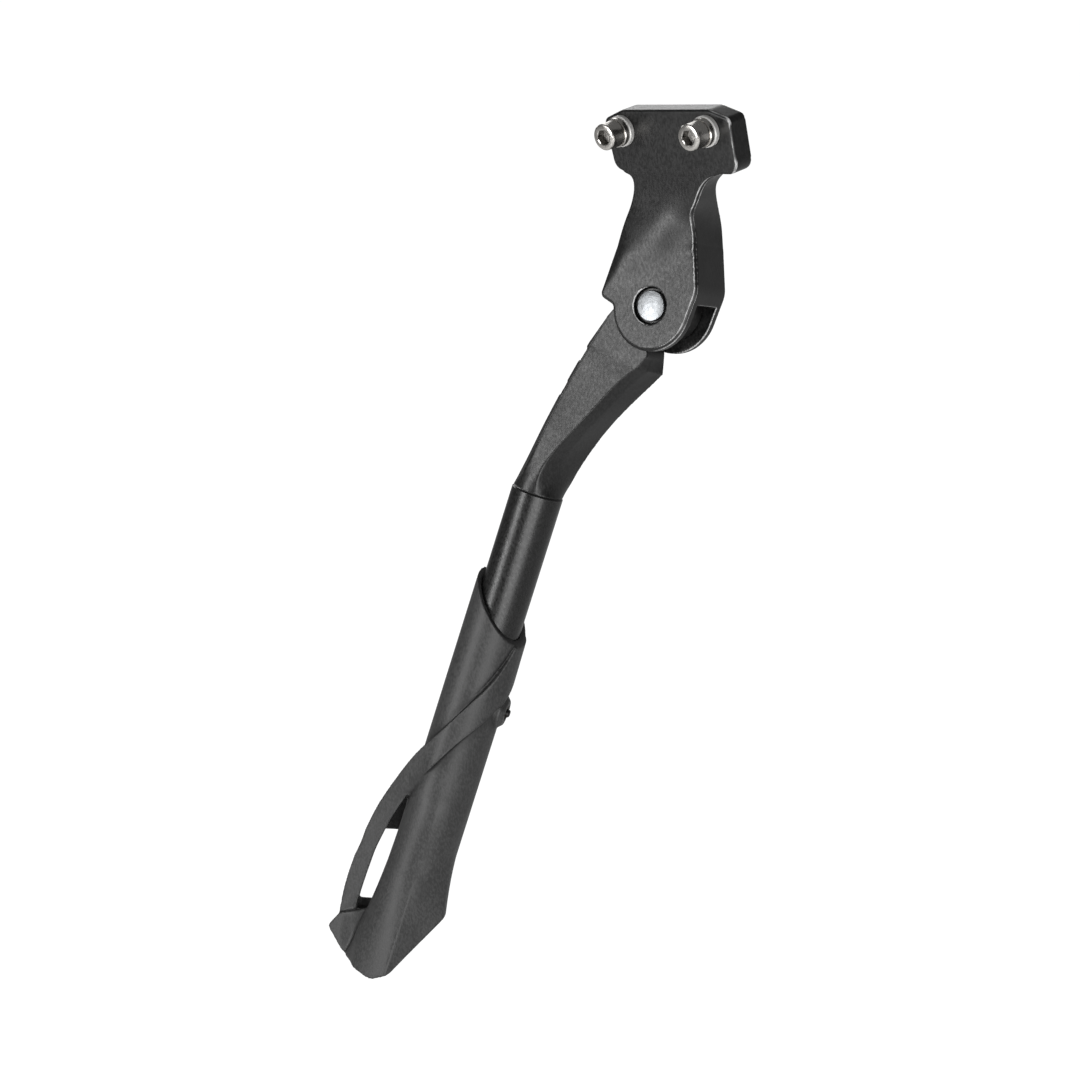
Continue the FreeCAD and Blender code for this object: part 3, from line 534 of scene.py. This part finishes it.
# %% [markdown]
# The upper leg starts flat and ends round, because the tube's end sits on it. In the casting the
# flat face runs out softly into the round end, so the lowest part of the leg is smoothed a little
# more. The last few tenths stay crisp, where the leg meets the tube.

# %% Upper leg
TUBE_UP = Vector((0.2562, 0.3921, 0.8834))
LEG_END = Vector((-53, -47, -122)) * MM
BLEND_START = 20 * MM
BLEND_FULL = 6 * MM
BLEND_ROUNDS = 36
CRISP_END = 0.5 * MM
CRISP_FADE = 6 * MM


def shoulder_share(place):
    height = (place - LEG_END).dot(TUBE_UP)
    top = eased((BLEND_START - height) / (BLEND_START - BLEND_FULL))
    return top * eased((height - CRISP_END) / CRISP_FADE)


def blend_shoulder(piece):
    soften_by(piece, "shoulder", BLEND_ROUNDS, shoulder_share)


melted(
    "leg_casting",
    "upper_leg",
    "leg",
    CASTING_CELL,
    CASTING_ROUNDS,
    HIGHLIGHT_LEG,
    blend_shoulder,
)

# %% [markdown]
# The foot is a moulding, and three places of it are softer than its solid: the seam where the
# sleeve runs out in the hoof, the ridge on the hoof's outer face, and the valley between the hoof
# and the horn. The valley is pressed in first, and then all three are smoothed.

# %% Soft places of the foot
MOULDING_CELL = 0.4 * MM
MOULDING_ROUNDS = 4
SLEEVE_FOOT = Vector((-97.8, -103.7, -261.1)) * MM
SEAM_REACH = 6 * MM
SEAM_ROUNDS = 40
VALLEY_TOP = Vector((-123, -114, -276)) * MM
VALLEY_END = Vector((-120, -130, -291)) * MM
VALLEY_REACH = 7 * MM
VALLEY_DEPTH = 1.6 * MM
VALLEY_ROUNDS = 80
RIDGE_MIDDLE = Vector((-106, -116, -283)) * MM
RIDGE_REACH = 20 * MM
RIDGE_ROUNDS = 60


def seam_share(place):
    return eased((SEAM_REACH - abs((place - SLEEVE_FOOT).dot(TUBE_UP))) / SEAM_REACH)


def ridge_share(place):
    return eased((RIDGE_REACH - (place - RIDGE_MIDDLE).length) / RIDGE_REACH)


def valley_share(place):
    line = VALLEY_END - VALLEY_TOP
    reached = clamped((place - VALLEY_TOP).dot(line) / line.length_squared)
    return eased(1 - (place - VALLEY_TOP - line * reached).length / VALLEY_REACH)


def calm_foot(piece):
    for point in piece.data.vertices:
        point.co -= EAR_NORMAL * VALLEY_DEPTH * valley_share(point.co)
    soften_by(piece, "seam", SEAM_ROUNDS, seam_share)
    soften_by(piece, "valley", VALLEY_ROUNDS, valley_share)
    soften_by(piece, "ridge", RIDGE_ROUNDS, ridge_share)


# %% [markdown]
# Behind the foot's strap stands a wall with a window. The wall's rim runs out to nothing at the
# window's upper corner, which a real moulding wouldn't do, so a short rod along the rim gives it
# some body there. Its ends are given in the foot's own frame, along the tube and across it.

# %% Rim of the window behind the strap
RIM_TOP = (-22.1, 1.8, -142.0)
RIM_END = (-24.5, 1.8, -155.0)
RIM_R = 1.0 * MM
SLEEVE_END = -152.0 * MM
foot_across = TUBE_UP.cross(EAR_NORMAL).normalized()
foot_inward = TUBE_UP.cross(foot_across)


def on_foot(x, y, z):
    """Place of a point that's given in millimetres in the foot's own frame."""
    sideways = foot_across * x * MM + foot_inward * y * MM
    return SLEEVE_FOOT + TUBE_UP * (z * MM - SLEEVE_END) + sideways


rim = (on_foot(*RIM_TOP), on_foot(*RIM_END), RIM_R)
print("rim from", [round(value, 4) for value in rim[0]], "to", [round(value, 4) for value in rim[1]])

# %% Foot
foot = melted(
    "foot_moulding",
    "foot",
    "foot",
    MOULDING_CELL,
    MOULDING_ROUNDS,
    HIGHLIGHT_FOOT,
    calm_foot,
    [rim],
)

# %% [markdown]
# The grooves beside the band are shallow, and their floors would look as pale as the sleeve. They get
# painted shade, a darker colour. Every point of the outer face that lies deeper than the sleeve's
# round belongs to a groove, so its painted shade is raised by its depth.

# %% Shade of the grooves beside the band
SLEEVE_R = 12.0 * MM
TUBE_R = 9.75 * MM
GROOVE_START = 0.1 * MM
GROOVE_DARK = 0.5 * MM


# Painted shade: groove floors get a darker colour by their depth.
def shade_grooves(piece):
    for point, value in zip(piece.data.vertices, piece.data.attributes["hollow"].data):
        offset = point.co - SLEEVE_FOOT
        outward = offset - TUBE_UP * offset.dot(TUBE_UP)
        radius = outward.length
        if TUBE_R < radius < SLEEVE_R and point.normal.dot(outward) > 0.1 * radius:
            depth = SLEEVE_R - GROOVE_START - radius
            value.value = max(value.value, min(depth / GROOVE_DARK, 1))


shade_grooves(foot)
print("darkest groove:", round(max(entry.value for entry in foot.data.attributes["hollow"].data), 2))

# %% [markdown]
# The tube is plain, so it keeps its own mesh. It only needs shading that knows which edges are
# real: faces that meet at less than thirty degrees are one smooth surface.

# %% Tube, ring and clamp screw
def smoothed(name, node, body):
    piece = link(name, welded_copy(node))
    piece.data.shade_smooth()
    piece.data.set_sharp_from_angle(angle=math.radians(30))
    material, slot = finish[node]
    return finished(piece, body, material, slot, node)


smoothed("tube_shell", "leg_tube", "leg")
smoothed("retaining_ring", "pin_ring", "bracket")
smoothed("set_screw", "clamp_screw", "foot")
smoothed("threaded_insert", "clamp_insert", "foot")
smoothed("cam", "cam_bush", "bracket")
smoothed("thrust_washer_outer", "pivot_washer_outer", "bracket")
smoothed("thrust_washer_inner", "pivot_washer_inner", "bracket")
smoothed("plunger_pin", "detent_plunger", "plunger")

# %% [markdown]
# ## The two mounting screws
#
# A screw is a turned profile, so its head and shank are lathed. The thread is one ridge that winds
# down the shank: a spiral curve with a triangle swept along it. Geometry Nodes make that ridge
# from three named sizes, so the same tree also winds the detent spring, with another profile.

# %% A tree that sweeps a profile along a spiral
def spiral_tree():
    tree = bpy.data.node_groups.new("swept_spiral", "GeometryNodeTree")
    wanted = (
        ("Radius", "NodeSocketFloat"),
        ("Turns", "NodeSocketFloat"),
        ("Height", "NodeSocketFloat"),
        ("Wire Radius", "NodeSocketFloat"),
        ("Wire Sides", "NodeSocketInt"),
        ("Steps Per Turn", "NodeSocketInt"),
        ("Finish", "NodeSocketMaterial"),
    )
    for title, kind in wanted:
        tree.interface.new_socket(title, in_out="INPUT", socket_type=kind)
    tree.interface.new_socket("Mesh", in_out="OUTPUT", socket_type="NodeSocketGeometry")
    given = tree.nodes.new("NodeGroupInput")
    result = tree.nodes.new("NodeGroupOutput")
    spiral = tree.nodes.new("GeometryNodeCurveSpiral")
    tree.links.new(given.outputs["Radius"], spiral.inputs["Start Radius"])
    tree.links.new(given.outputs["Radius"], spiral.inputs["End Radius"])
    tree.links.new(given.outputs["Turns"], spiral.inputs["Rotations"])
    tree.links.new(given.outputs["Height"], spiral.inputs["Height"])
    tree.links.new(given.outputs["Steps Per Turn"], spiral.inputs["Resolution"])
    upright = tree.nodes.new("GeometryNodeSetCurveNormal")
    upright.mode = "Z_UP"
    tree.links.new(spiral.outputs["Curve"], upright.inputs["Curve"])
    profile = tree.nodes.new("GeometryNodeCurvePrimitiveCircle")
    tree.links.new(given.outputs["Wire Sides"], profile.inputs["Resolution"])
    tree.links.new(given.outputs["Wire Radius"], profile.inputs["Radius"])
    sweep = tree.nodes.new("GeometryNodeCurveToMesh")
    sweep.inputs["Fill Caps"].default_value = True
    tree.links.new(upright.outputs["Curve"], sweep.inputs["Curve"])
    tree.links.new(profile.outputs["Curve"], sweep.inputs["Profile Curve"])
    real = tree.nodes.new("GeometryNodeRealizeInstances")
    tree.links.new(sweep.outputs["Mesh"], real.inputs["Geometry"])
    paint = tree.nodes.new("GeometryNodeSetMaterial")
    tree.links.new(real.outputs["Geometry"], paint.inputs["Geometry"])
    tree.links.new(given.outputs["Finish"], paint.inputs["Material"])
    tree.links.new(paint.outputs["Geometry"], result.inputs["Mesh"])
    return tree


swept_spiral = spiral_tree()


def wound(name, place, **sizes):
    """Mesh of a spiral sweep, moved to its place."""
    piece = link(name, bpy.data.meshes.new(name))
    modifier = piece.modifiers.new("wind", "NODES")
    modifier.node_group = swept_spiral
    for item in swept_spiral.interface.items_tree:
        if item.in_out == "INPUT" and item.name in sizes:
            modifier[item.identifier] = sizes[item.name]
    bake_modifiers(piece)
    piece.data.transform(place)
    return piece


print("inputs:", [item.name for item in swept_spiral.interface.items_tree])


# %% [markdown]
# The lathe turns a profile of radius and depth around an axis. Two helpers go with it: one that
# frames an axis, and one that joins pieces of the same body into a single mesh.

# %% Lathe and join
def along(base, axis):
    """Matrix whose Z runs along axis from base."""
    return Matrix.Translation(base) @ axis.to_track_quat("Z", "Y").to_matrix().to_4x4()


def lathe(name, profile, place, steps=96, ridge=0.0):
    """Surface of revolution from (radius, depth) pairs; Z is the axis.

    A third value in a pair marks a knurled ring: every other point of it is set in by the ridge.
    """
    work = bmesh.new()
    rings = []
    for radius, depth, *knurled in profile:
        if radius == 0:
            rings.append([work.verts.new((0, 0, depth))])
            continue
        points = []
        for step in range(steps):
            turn = 2 * math.pi * step / steps
            reach = radius - ridge if knurled and step % 2 else radius
            points.append(work.verts.new((reach * math.cos(turn), reach * math.sin(turn), depth)))
        rings.append(points)
    for lower, upper in zip(rings[:-1], rings[1:]):
        for step in range(steps):
            ahead = (step + 1) % steps
            if len(lower) == 1:
                work.faces.new((lower[0], upper[step], upper[ahead]))
            elif len(upper) == 1:
                work.faces.new((lower[step], upper[0], lower[ahead]))
            else:
                work.faces.new((lower[step], upper[step], upper[ahead], lower[ahead]))
    bmesh.ops.recalc_face_normals(work, faces=work.faces)
    mesh = bpy.data.meshes.new(name)
    work.to_mesh(mesh)
    work.free()
    mesh.transform(place)
    mesh.shade_smooth()
    mesh.set_sharp_from_angle(angle=math.radians(32))
    return link(name, mesh)


def joined(name, pieces):
    """One mesh from several pieces, which are removed."""
    work = bmesh.new()
    for piece in pieces:
        work.from_mesh(piece.data)
        bpy.data.objects.remove(piece)
    mesh = bpy.data.meshes.new(name)
    work.to_mesh(mesh)
    work.free()
    return link(name, mesh)


# %% [markdown]
# The screw's head is a knurled cylinder with a hexagon socket. In its profile, a ring with a third
# value is knurled: every other point of it is set in a little. A lathe can't make six sides, so the
# socket is a cup of its own. Its walls get painted shade, a darker colour, and its floor is marked
# as matt, because the drilled bottom of a real socket scatters light. Only the screw's end carries a
# thread.

# %% Screws
SCREW_LENGTH = 20 * MM
HEAD_D = 9.5 * MM
HEAD_H = 6 * MM
KEY = 5 * MM
KEY_RIM_R = KEY / math.sqrt(3) + 0.08 * MM
KEY_LIP = 0.12 * MM
KEY_DEPTH = 3.2 * MM
KEY_FLOOR_MATT = 1.5
KNURL = 0.13 * MM
GRIP_D = 5.4 * MM
THREAD_PITCH = 1 * MM
THREAD_DEPTH = 0.55 * MM
THREAD_LENGTH = 7.25 * MM


def hex_socket(name, place):
    """Socket from the head's bore rim down to its cone, as an open cup."""
    work = bmesh.new()
    sides = 6
    steps = 48
    rim = []
    top = []
    deep = []
    floor = []
    for step in range(steps):
        turn = 2 * math.pi * step / steps
        wedge = turn % (2 * math.pi / sides) - math.pi / sides
        reach = (KEY / 2) / math.cos(wedge)
        rim.append(work.verts.new((KEY_RIM_R * math.cos(turn), KEY_RIM_R * math.sin(turn), 0)))
        flat = (reach * math.cos(turn), reach * math.sin(turn))
        top.append(work.verts.new((*flat, KEY_LIP)))
        deep.append(work.verts.new((*flat, KEY_DEPTH)))
        floor.append(work.verts.new((*flat, KEY_DEPTH + 0.01 * MM)))
    tip = work.verts.new((0, 0, KEY_DEPTH + 0.9 * MM))
    for step in range(steps):
        ahead = (step + 1) % steps
        work.faces.new((rim[step], rim[ahead], top[ahead], top[step]))
        work.faces.new((top[step], top[ahead], deep[ahead], deep[step]))
        work.faces.new((floor[step], floor[ahead], tip))
    mesh = bpy.data.meshes.new(name)
    work.to_mesh(mesh)
    work.free()
    depths = [point.co.z for point in mesh.vertices]
    # Painted shade: the walls of the socket are marked to be darkened.
    painted_socket_shade = mesh.attributes.new("painted_socket_shade", "FLOAT", "POINT")
    painted_socket_shade.data.foreach_set("value", [1.0 if KEY_LIP / 2 < z <= KEY_DEPTH else 0.0 for z in depths])
    matt = mesh.attributes.new("matt", "FLOAT", "POINT")
    matt.data.foreach_set("value", [KEY_FLOOR_MATT if z > KEY_DEPTH else 0.0 for z in depths])
    mesh.transform(place)
    mesh.shade_smooth()
    mesh.set_sharp_from_angle(angle=math.radians(32))
    return link(name, mesh)


def mount_screw(name, x, node):
    seat = PLATE_FRONT - WASHER_T - LOCK_WASHER_T
    inward = along(Vector((x, seat - HEAD_H, 0)), Vector((0, 1, 0)))
    core = SCREW_D / 2 - THREAD_DEPTH
    head_r = HEAD_D / 2
    tip = HEAD_H + SCREW_LENGTH
    profile = [
        (KEY_RIM_R, 0),
        (head_r - 0.7 * MM, 0),
        (head_r - 0.25 * MM, 0.15 * MM),
        (head_r, 0.5 * MM),
        (head_r, 0.9 * MM),
        (head_r, 1.1 * MM, KNURL),
        (head_r, HEAD_H - 0.9 * MM, KNURL),
        (head_r, HEAD_H - 0.7 * MM),
        (head_r, HEAD_H - 0.2 * MM),
        (head_r - 0.2 * MM, HEAD_H),
        (GRIP_D / 2, HEAD_H),
        (GRIP_D / 2, tip - THREAD_LENGTH),
        (core, tip - THREAD_LENGTH + 0.3 * MM),
        (core, tip - 0.3 * MM),
        (core - 0.3 * MM, tip),
        (0, tip),
    ]
    body = lathe(name + "_body", profile, inward, ridge=KNURL)
    socket = hex_socket(name + "_socket", inward)
    turns = (THREAD_LENGTH - 1.4 * MM) / THREAD_PITCH
    start = Vector((x, seat + SCREW_LENGTH - THREAD_LENGTH + 0.7 * MM, 0))
    ridge = wound(
        name + "_thread",
        along(start, Vector((0, 1, 0))),
        Radius=core + 0.02 * MM,
        Turns=turns,
        Height=turns * THREAD_PITCH,
        **{"Wire Radius": THREAD_DEPTH - 0.04 * MM, "Wire Sides": 4, "Steps Per Turn": 40},
    )
    screw = joined(name, [body, socket, ridge])
    return finished(screw, "bracket", stainless, "bright_steel", node)


mount_screw("screw_front", -SCREW_PITCH / 2, "mount_screw_front")
mount_screw("screw_rear", SCREW_PITCH / 2, "mount_screw_rear")

# %% [markdown]
# A split lock washer is a short piece of square spring wire, wound once. Its ends stand a little
# apart, and they show as a notch with a bright edge. The flat washer beneath it is a lathed ring
# with rounded rims.

# %% Washers
WASHER_D = 11.2 * MM
WASHER_HOLE = 6.4 * MM
LOCK_WASHER_D = 10.4 * MM
SPLIT_TURN = math.radians(60)


def flat_washer(name, x, node):
    outer, hole, edge = WASHER_D / 2, WASHER_HOLE / 2, 0.3 * MM
    profile = [
        (hole, 0),
        (outer - edge, 0),
        (outer, edge),
        (outer, WASHER_T - edge / 2),
        (outer - edge / 2, WASHER_T),
        (hole, WASHER_T),
        (hole, 0),
    ]
    place = along(Vector((x, PLATE_FRONT - WASHER_T, 0)), Vector((0, 1, 0)))
    piece = lathe(name, profile, place)
    return finished(piece, "bracket", washer_steel, "bright_steel", node)


def lock_washer(name, x, node):
    """Ring of rounded square section, cut and slightly sprung open at the split."""
    steps = 72
    mid = (LOCK_WASHER_D + WASHER_HOLE) / 4
    half_w = (LOCK_WASHER_D - WASHER_HOLE) / 4
    edge = 0.25 * MM
    split = 0.9 * MM / mid
    work = bmesh.new()
    rings = []
    for step in range(steps + 1):
        share = step / steps
        turn = SPLIT_TURN + split / 2 + (2 * math.pi - split) * share
        spring = 0.12 * MM * (share - 0.5)
        low, high = 0.06 * MM + spring, LOCK_WASHER_T - 0.06 * MM + spring
        section = [
            (-half_w + edge, low), (half_w - edge, low), (half_w, low + edge),
            (half_w, high - edge), (half_w - edge, high), (-half_w + edge, high),
            (-half_w, high - edge), (-half_w, low + edge),
        ]
        rings.append([
            work.verts.new(((mid + r) * math.cos(turn), (mid + r) * math.sin(turn), z))
            for r, z in section
        ])
    for lower, upper in zip(rings[:-1], rings[1:]):
        for index in range(8):
            ahead = (index + 1) % 8
            work.faces.new((lower[index], lower[ahead], upper[ahead], upper[index]))
    work.faces.new(rings[0][::-1])
    work.faces.new(rings[-1])
    bmesh.ops.recalc_face_normals(work, faces=work.faces)
    mesh = bpy.data.meshes.new(name)
    work.to_mesh(mesh)
    work.free()
    mesh.transform(along(Vector((x, PLATE_FRONT - WASHER_T - LOCK_WASHER_T, 0)), Vector((0, 1, 0))))
    mesh.shade_smooth()
    mesh.set_sharp_from_angle(angle=math.radians(32))
    return finished(link(name, mesh), "bracket", stainless, "bright_steel", node)


for place, x in (("front", -SCREW_PITCH / 2), ("rear", SCREW_PITCH / 2)):
    flat_washer("flat_ring_" + place, x, "flat_washer_" + place)
    lock_washer("split_ring_" + place, x, "lock_washer_" + place)

# %% [markdown]
# ## Pivot pin
#
# The pivot has a frame of its own, turned out of the screw row and tilted. The pin is easiest to
# describe along its own axis, and the frame then carries it to its place.

# %% Frame of the pivot
PIVOT = Vector((-12.05, -10.29, -64.35)) * MM
PIVOT_YAW = math.radians(12)
PIVOT_TILT = math.radians(20.5)
CLEVIS_W = 21.2 * MM
pivot_turn = Matrix.Rotation(PIVOT_YAW, 4, "Z") @ Matrix.Rotation(-PIVOT_TILT, 4, "X")
pivot_frame = Matrix.Translation(PIVOT) @ pivot_turn
print("pivot axis:", [round(value, 4) for value in pivot_turn.to_3x3() @ Vector((0, -1, 0))])

# %% [markdown]
# The pin's head sits in the outer ear, a little below its face. It's faintly domed, so only a part
# of it mirrors the tall lamp. Its tail carries the groove for the retaining ring.

# %% Pin
PIN_D = 8 * MM
PIN_HEAD_D = 11.2 * MM
PIN_HEAD_T = 1.7 * MM
PIN_SUNK = 0.3 * MM
PIN_TAIL = 2.4 * MM
PIN_DOME = 0.34 * MM
PIN_EDGE = 0.35 * MM
GROOVE_DEPTH = 0.6 * MM
GROOVE_W = 1 * MM


def pivot_pin():
    head, shank = PIN_HEAD_D / 2, PIN_D / 2
    whole = CLEVIS_W - PIN_SUNK + PIN_TAIL
    groove = CLEVIS_W - PIN_SUNK
    flat = head - PIN_EDGE
    profile = [(flat * step / 8, PIN_DOME * (step / 8) ** 2) for step in range(9)]
    for step in range(1, 6):
        turn = math.radians(18 * step)
        across, down = PIN_EDGE * math.sin(turn), PIN_EDGE * (1 - math.cos(turn))
        profile.append((flat + across, PIN_DOME + down))
    profile += [
        (head, PIN_HEAD_T),
        (shank, PIN_HEAD_T),
        (shank, groove),
        (shank - GROOVE_DEPTH, groove),
        (shank - GROOVE_DEPTH, groove + GROOVE_W),
        (shank, groove + GROOVE_W),
        (shank, whole - 0.5 * MM),
        (shank - 0.5 * MM, whole),
        (0, whole),
    ]
    outer_end = pivot_frame @ Vector((0, PIN_SUNK - CLEVIS_W / 2, 0))
    inward = pivot_turn.to_3x3() @ Vector((0, 1, 0))
    pin = lathe("pin", profile, along(outer_end, inward))
    return finished(pin, "bracket", zinc_plate, "zinc_steel", "pivot_pin")


pivot_pin()

# %% [markdown]
# ## Detent spring
#
# The spring is hidden in the upper leg, and it's wound by the same tree as the threads: a spiral
# with a round wire. It fills the space between the plunger's shoulder and the end of its bore.

# %% Spring
PLUNGER_LEAN = math.radians(42)
PLUNGER_SHOULDER = 16.3 * MM
BORE_END = 33 * MM
WIRE_D = 1.1 * MM
COIL_D = 6.4 * MM
COILS = 6.5


def detent_spring():
    direction = Vector((-math.sin(PLUNGER_LEAN), 0, -math.cos(PLUNGER_LEAN)))
    start = pivot_frame @ (direction * (PLUNGER_SHOULDER + WIRE_D / 2))
    place = along(start, pivot_turn.to_3x3() @ direction)
    coil = wound(
        "coil_spring",
        place,
        Radius=COIL_D / 2,
        Turns=COILS,
        Height=BORE_END - PLUNGER_SHOULDER - WIRE_D,
        **{"Wire Radius": WIRE_D / 2, "Wire Sides": 10, "Steps Per Turn": 36},
    )
    coil.data.shade_smooth()
    return finished(coil, "leg", spring_wire, "spring_steel", "detent_spring")


detent_spring()

# %% [markdown]
# ## Camera
#
# The photograph was taken from the outer side, a little to the rear and from above, with the
# camera rolled. Three angles and a distance say the same as its place. The lens is a short
# telephoto, and the mounting face's centre is known in the picture, which fixes the rest.

# %% Camera of the photograph
PICTURE = 1080
LENS = 100.0
SENSOR = 36.0
CAMERA_DISTANCE = 1053.31 * MM
CAMERA_AZIMUTH = math.radians(47.15)
CAMERA_HEIGHT = math.radians(18.0)
CAMERA_ROLL = math.radians(10.56)
ORIGIN_IN_PICTURE = (679.79, 124.56)


def photo_camera():
    azimuth, height, roll = CAMERA_AZIMUTH, CAMERA_HEIGHT, CAMERA_ROLL
    level = Vector((math.cos(azimuth), math.sin(azimuth), 0))
    back = Vector((
        math.sin(azimuth) * math.cos(height),
        -math.cos(azimuth) * math.cos(height),
        math.sin(height),
    ))
    upright = back.cross(level)
    right = level * math.cos(roll) - upright * math.sin(roll)
    up = level * math.sin(roll) + upright * math.cos(roll)
    per_pixel = CAMERA_DISTANCE * SENSOR / LENS / PICTURE
    across = (ORIGIN_IN_PICTURE[0] - PICTURE / 2) * per_pixel
    down = (ORIGIN_IN_PICTURE[1] - PICTURE / 2) * per_pixel
    place = back * CAMERA_DISTANCE - right * across + up * down
    lens = bpy.data.cameras.new("photo_camera")
    lens.lens = LENS
    lens.sensor_width = SENSOR
    lens.clip_start = 0.01
    lens.clip_end = 50
    camera = bpy.data.objects.new("photo_camera", lens)
    bpy.context.scene.collection.objects.link(camera)
    turn = Matrix((right, up, back)).transposed().to_4x4()
    camera.matrix_world = Matrix.Translation(place) @ turn
    bpy.context.scene.camera = camera
    return camera


camera = photo_camera()
print("camera at", [round(value, 4) for value in camera.location])

# %% [markdown]
# ## Studio
#
# The floor is plain and pale. To the camera, and in reflections, most of its light is its own, so
# that it reads as a white page with a faint shadow. All other rays see a simple matte floor. It
# lies a little below the foot, because the foot can still slide further down the tube.

# %% Floor and world
FLOOR_GAP = 28 * MM
FLOOR_REACH = 6
PAGE_LIGHT = 1.18
low_corner, high_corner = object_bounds()


def ray_level(tree, seen, mirrored, other):
    """Value for what the camera sees, for mirrored and transmitted rays, and for all others."""
    rays = tree.nodes.new("ShaderNodeLightPath")
    level = other
    kinds = (
        ("Is Transmission Ray", seen),
        ("Is Glossy Ray", mirrored),
        ("Is Camera Ray", seen),
    )
    for ray, value in kinds:
        pick = tree.nodes.new("ShaderNodeMapRange")
        pick.inputs["To Max"].default_value = value
        tree.links.new(rays.outputs[ray], pick.inputs["Value"])
        if isinstance(level, (int, float)):
            pick.inputs["To Min"].default_value = level
        else:
            tree.links.new(level, pick.inputs["To Min"])
        level = pick.outputs["Result"]
    return level


def studio_floor():
    work = bmesh.new()
    level = low_corner.z - FLOOR_GAP
    signs = ((-1, -1), (1, -1), (1, 1), (-1, 1))
    work.faces.new([work.verts.new((x * FLOOR_REACH, y * FLOOR_REACH, level)) for x, y in signs])
    mesh = bpy.data.meshes.new("floor")
    work.to_mesh(mesh)
    work.free()
    floor = link("floor", mesh)
    material, tree, matte = new_material("pale_floor")
    matte.inputs["Base Color"].default_value = (0.82, 0.82, 0.82, 1)
    matte.inputs["Roughness"].default_value = 0.9
    matte.inputs["Specular IOR Level"].default_value = 0.1
    page = tree.nodes.new("ShaderNodeEmission")
    page.inputs["Color"].default_value = (1, 1, 1, 1)
    page.inputs["Strength"].default_value = PAGE_LIGHT
    share = ray_level(tree, 0.85, 0.1, 0)
    mix = tree.nodes.new("ShaderNodeMixShader")
    tree.links.new(share, mix.inputs["Fac"])
    tree.links.new(matte.outputs["BSDF"], mix.inputs[1])
    tree.links.new(page.outputs["Emission"], mix.inputs[2])
    output = tree.nodes["Material Output"]
    tree.links.new(mix.outputs["Shader"], output.inputs["Surface"])
    mesh.materials.append(material)


def studio_world():
    world = bpy.data.worlds.new("studio")
    bpy.context.scene.world = world
    world.use_nodes = True
    tree = world.node_tree
    room = tree.nodes["Background"]
    room.inputs["Color"].default_value = (1, 1, 1, 1)
    level = ray_level(tree, 1.0, 0.15, 0.25)
    tree.links.new(level, room.inputs["Strength"])


studio_floor()
studio_world()
bpy.context.scene.view_settings.view_transform = "Standard"

# %% [markdown]
# Three soft lamps shape the black parts. A tall narrow one at the outer side shows on the faces
# that lean back, and leaves the upright plate dark. One beside the camera draws the second line
# down the tube. One behind brightens the plate's top.

# %% Lamps
def soft_lamp(name, place, aim, width, height, power):
    lamp = bpy.data.lights.new(name, "AREA")
    lamp.shape = "RECTANGLE"
    lamp.size = width
    lamp.size_y = height
    lamp.energy = power
    shown = bpy.data.objects.new(name, lamp)
    bpy.context.scene.collection.objects.link(shown)
    shown.location = place
    shown.rotation_mode = "QUATERNION"
    shown.rotation_quaternion = (aim - place).to_track_quat("-Z", "Y")
    shown.visible_camera = False
    return shown


middle = (low_corner + high_corner) / 2
soft_lamp("outer_side", middle + Vector((-0.32, -0.95, 0.29)), middle, 0.30, 0.63, 5.2)
soft_lamp("camera_side", middle + Vector((0.41, -0.37, -0.04)), middle, 0.40, 0.28, 1.75)
soft_lamp("behind", middle + Vector((-0.76, 0.80, 0.46)), middle, 0.9, 0.42, 2.8)
print("lamps set round", [round(value, 3) for value in middle])
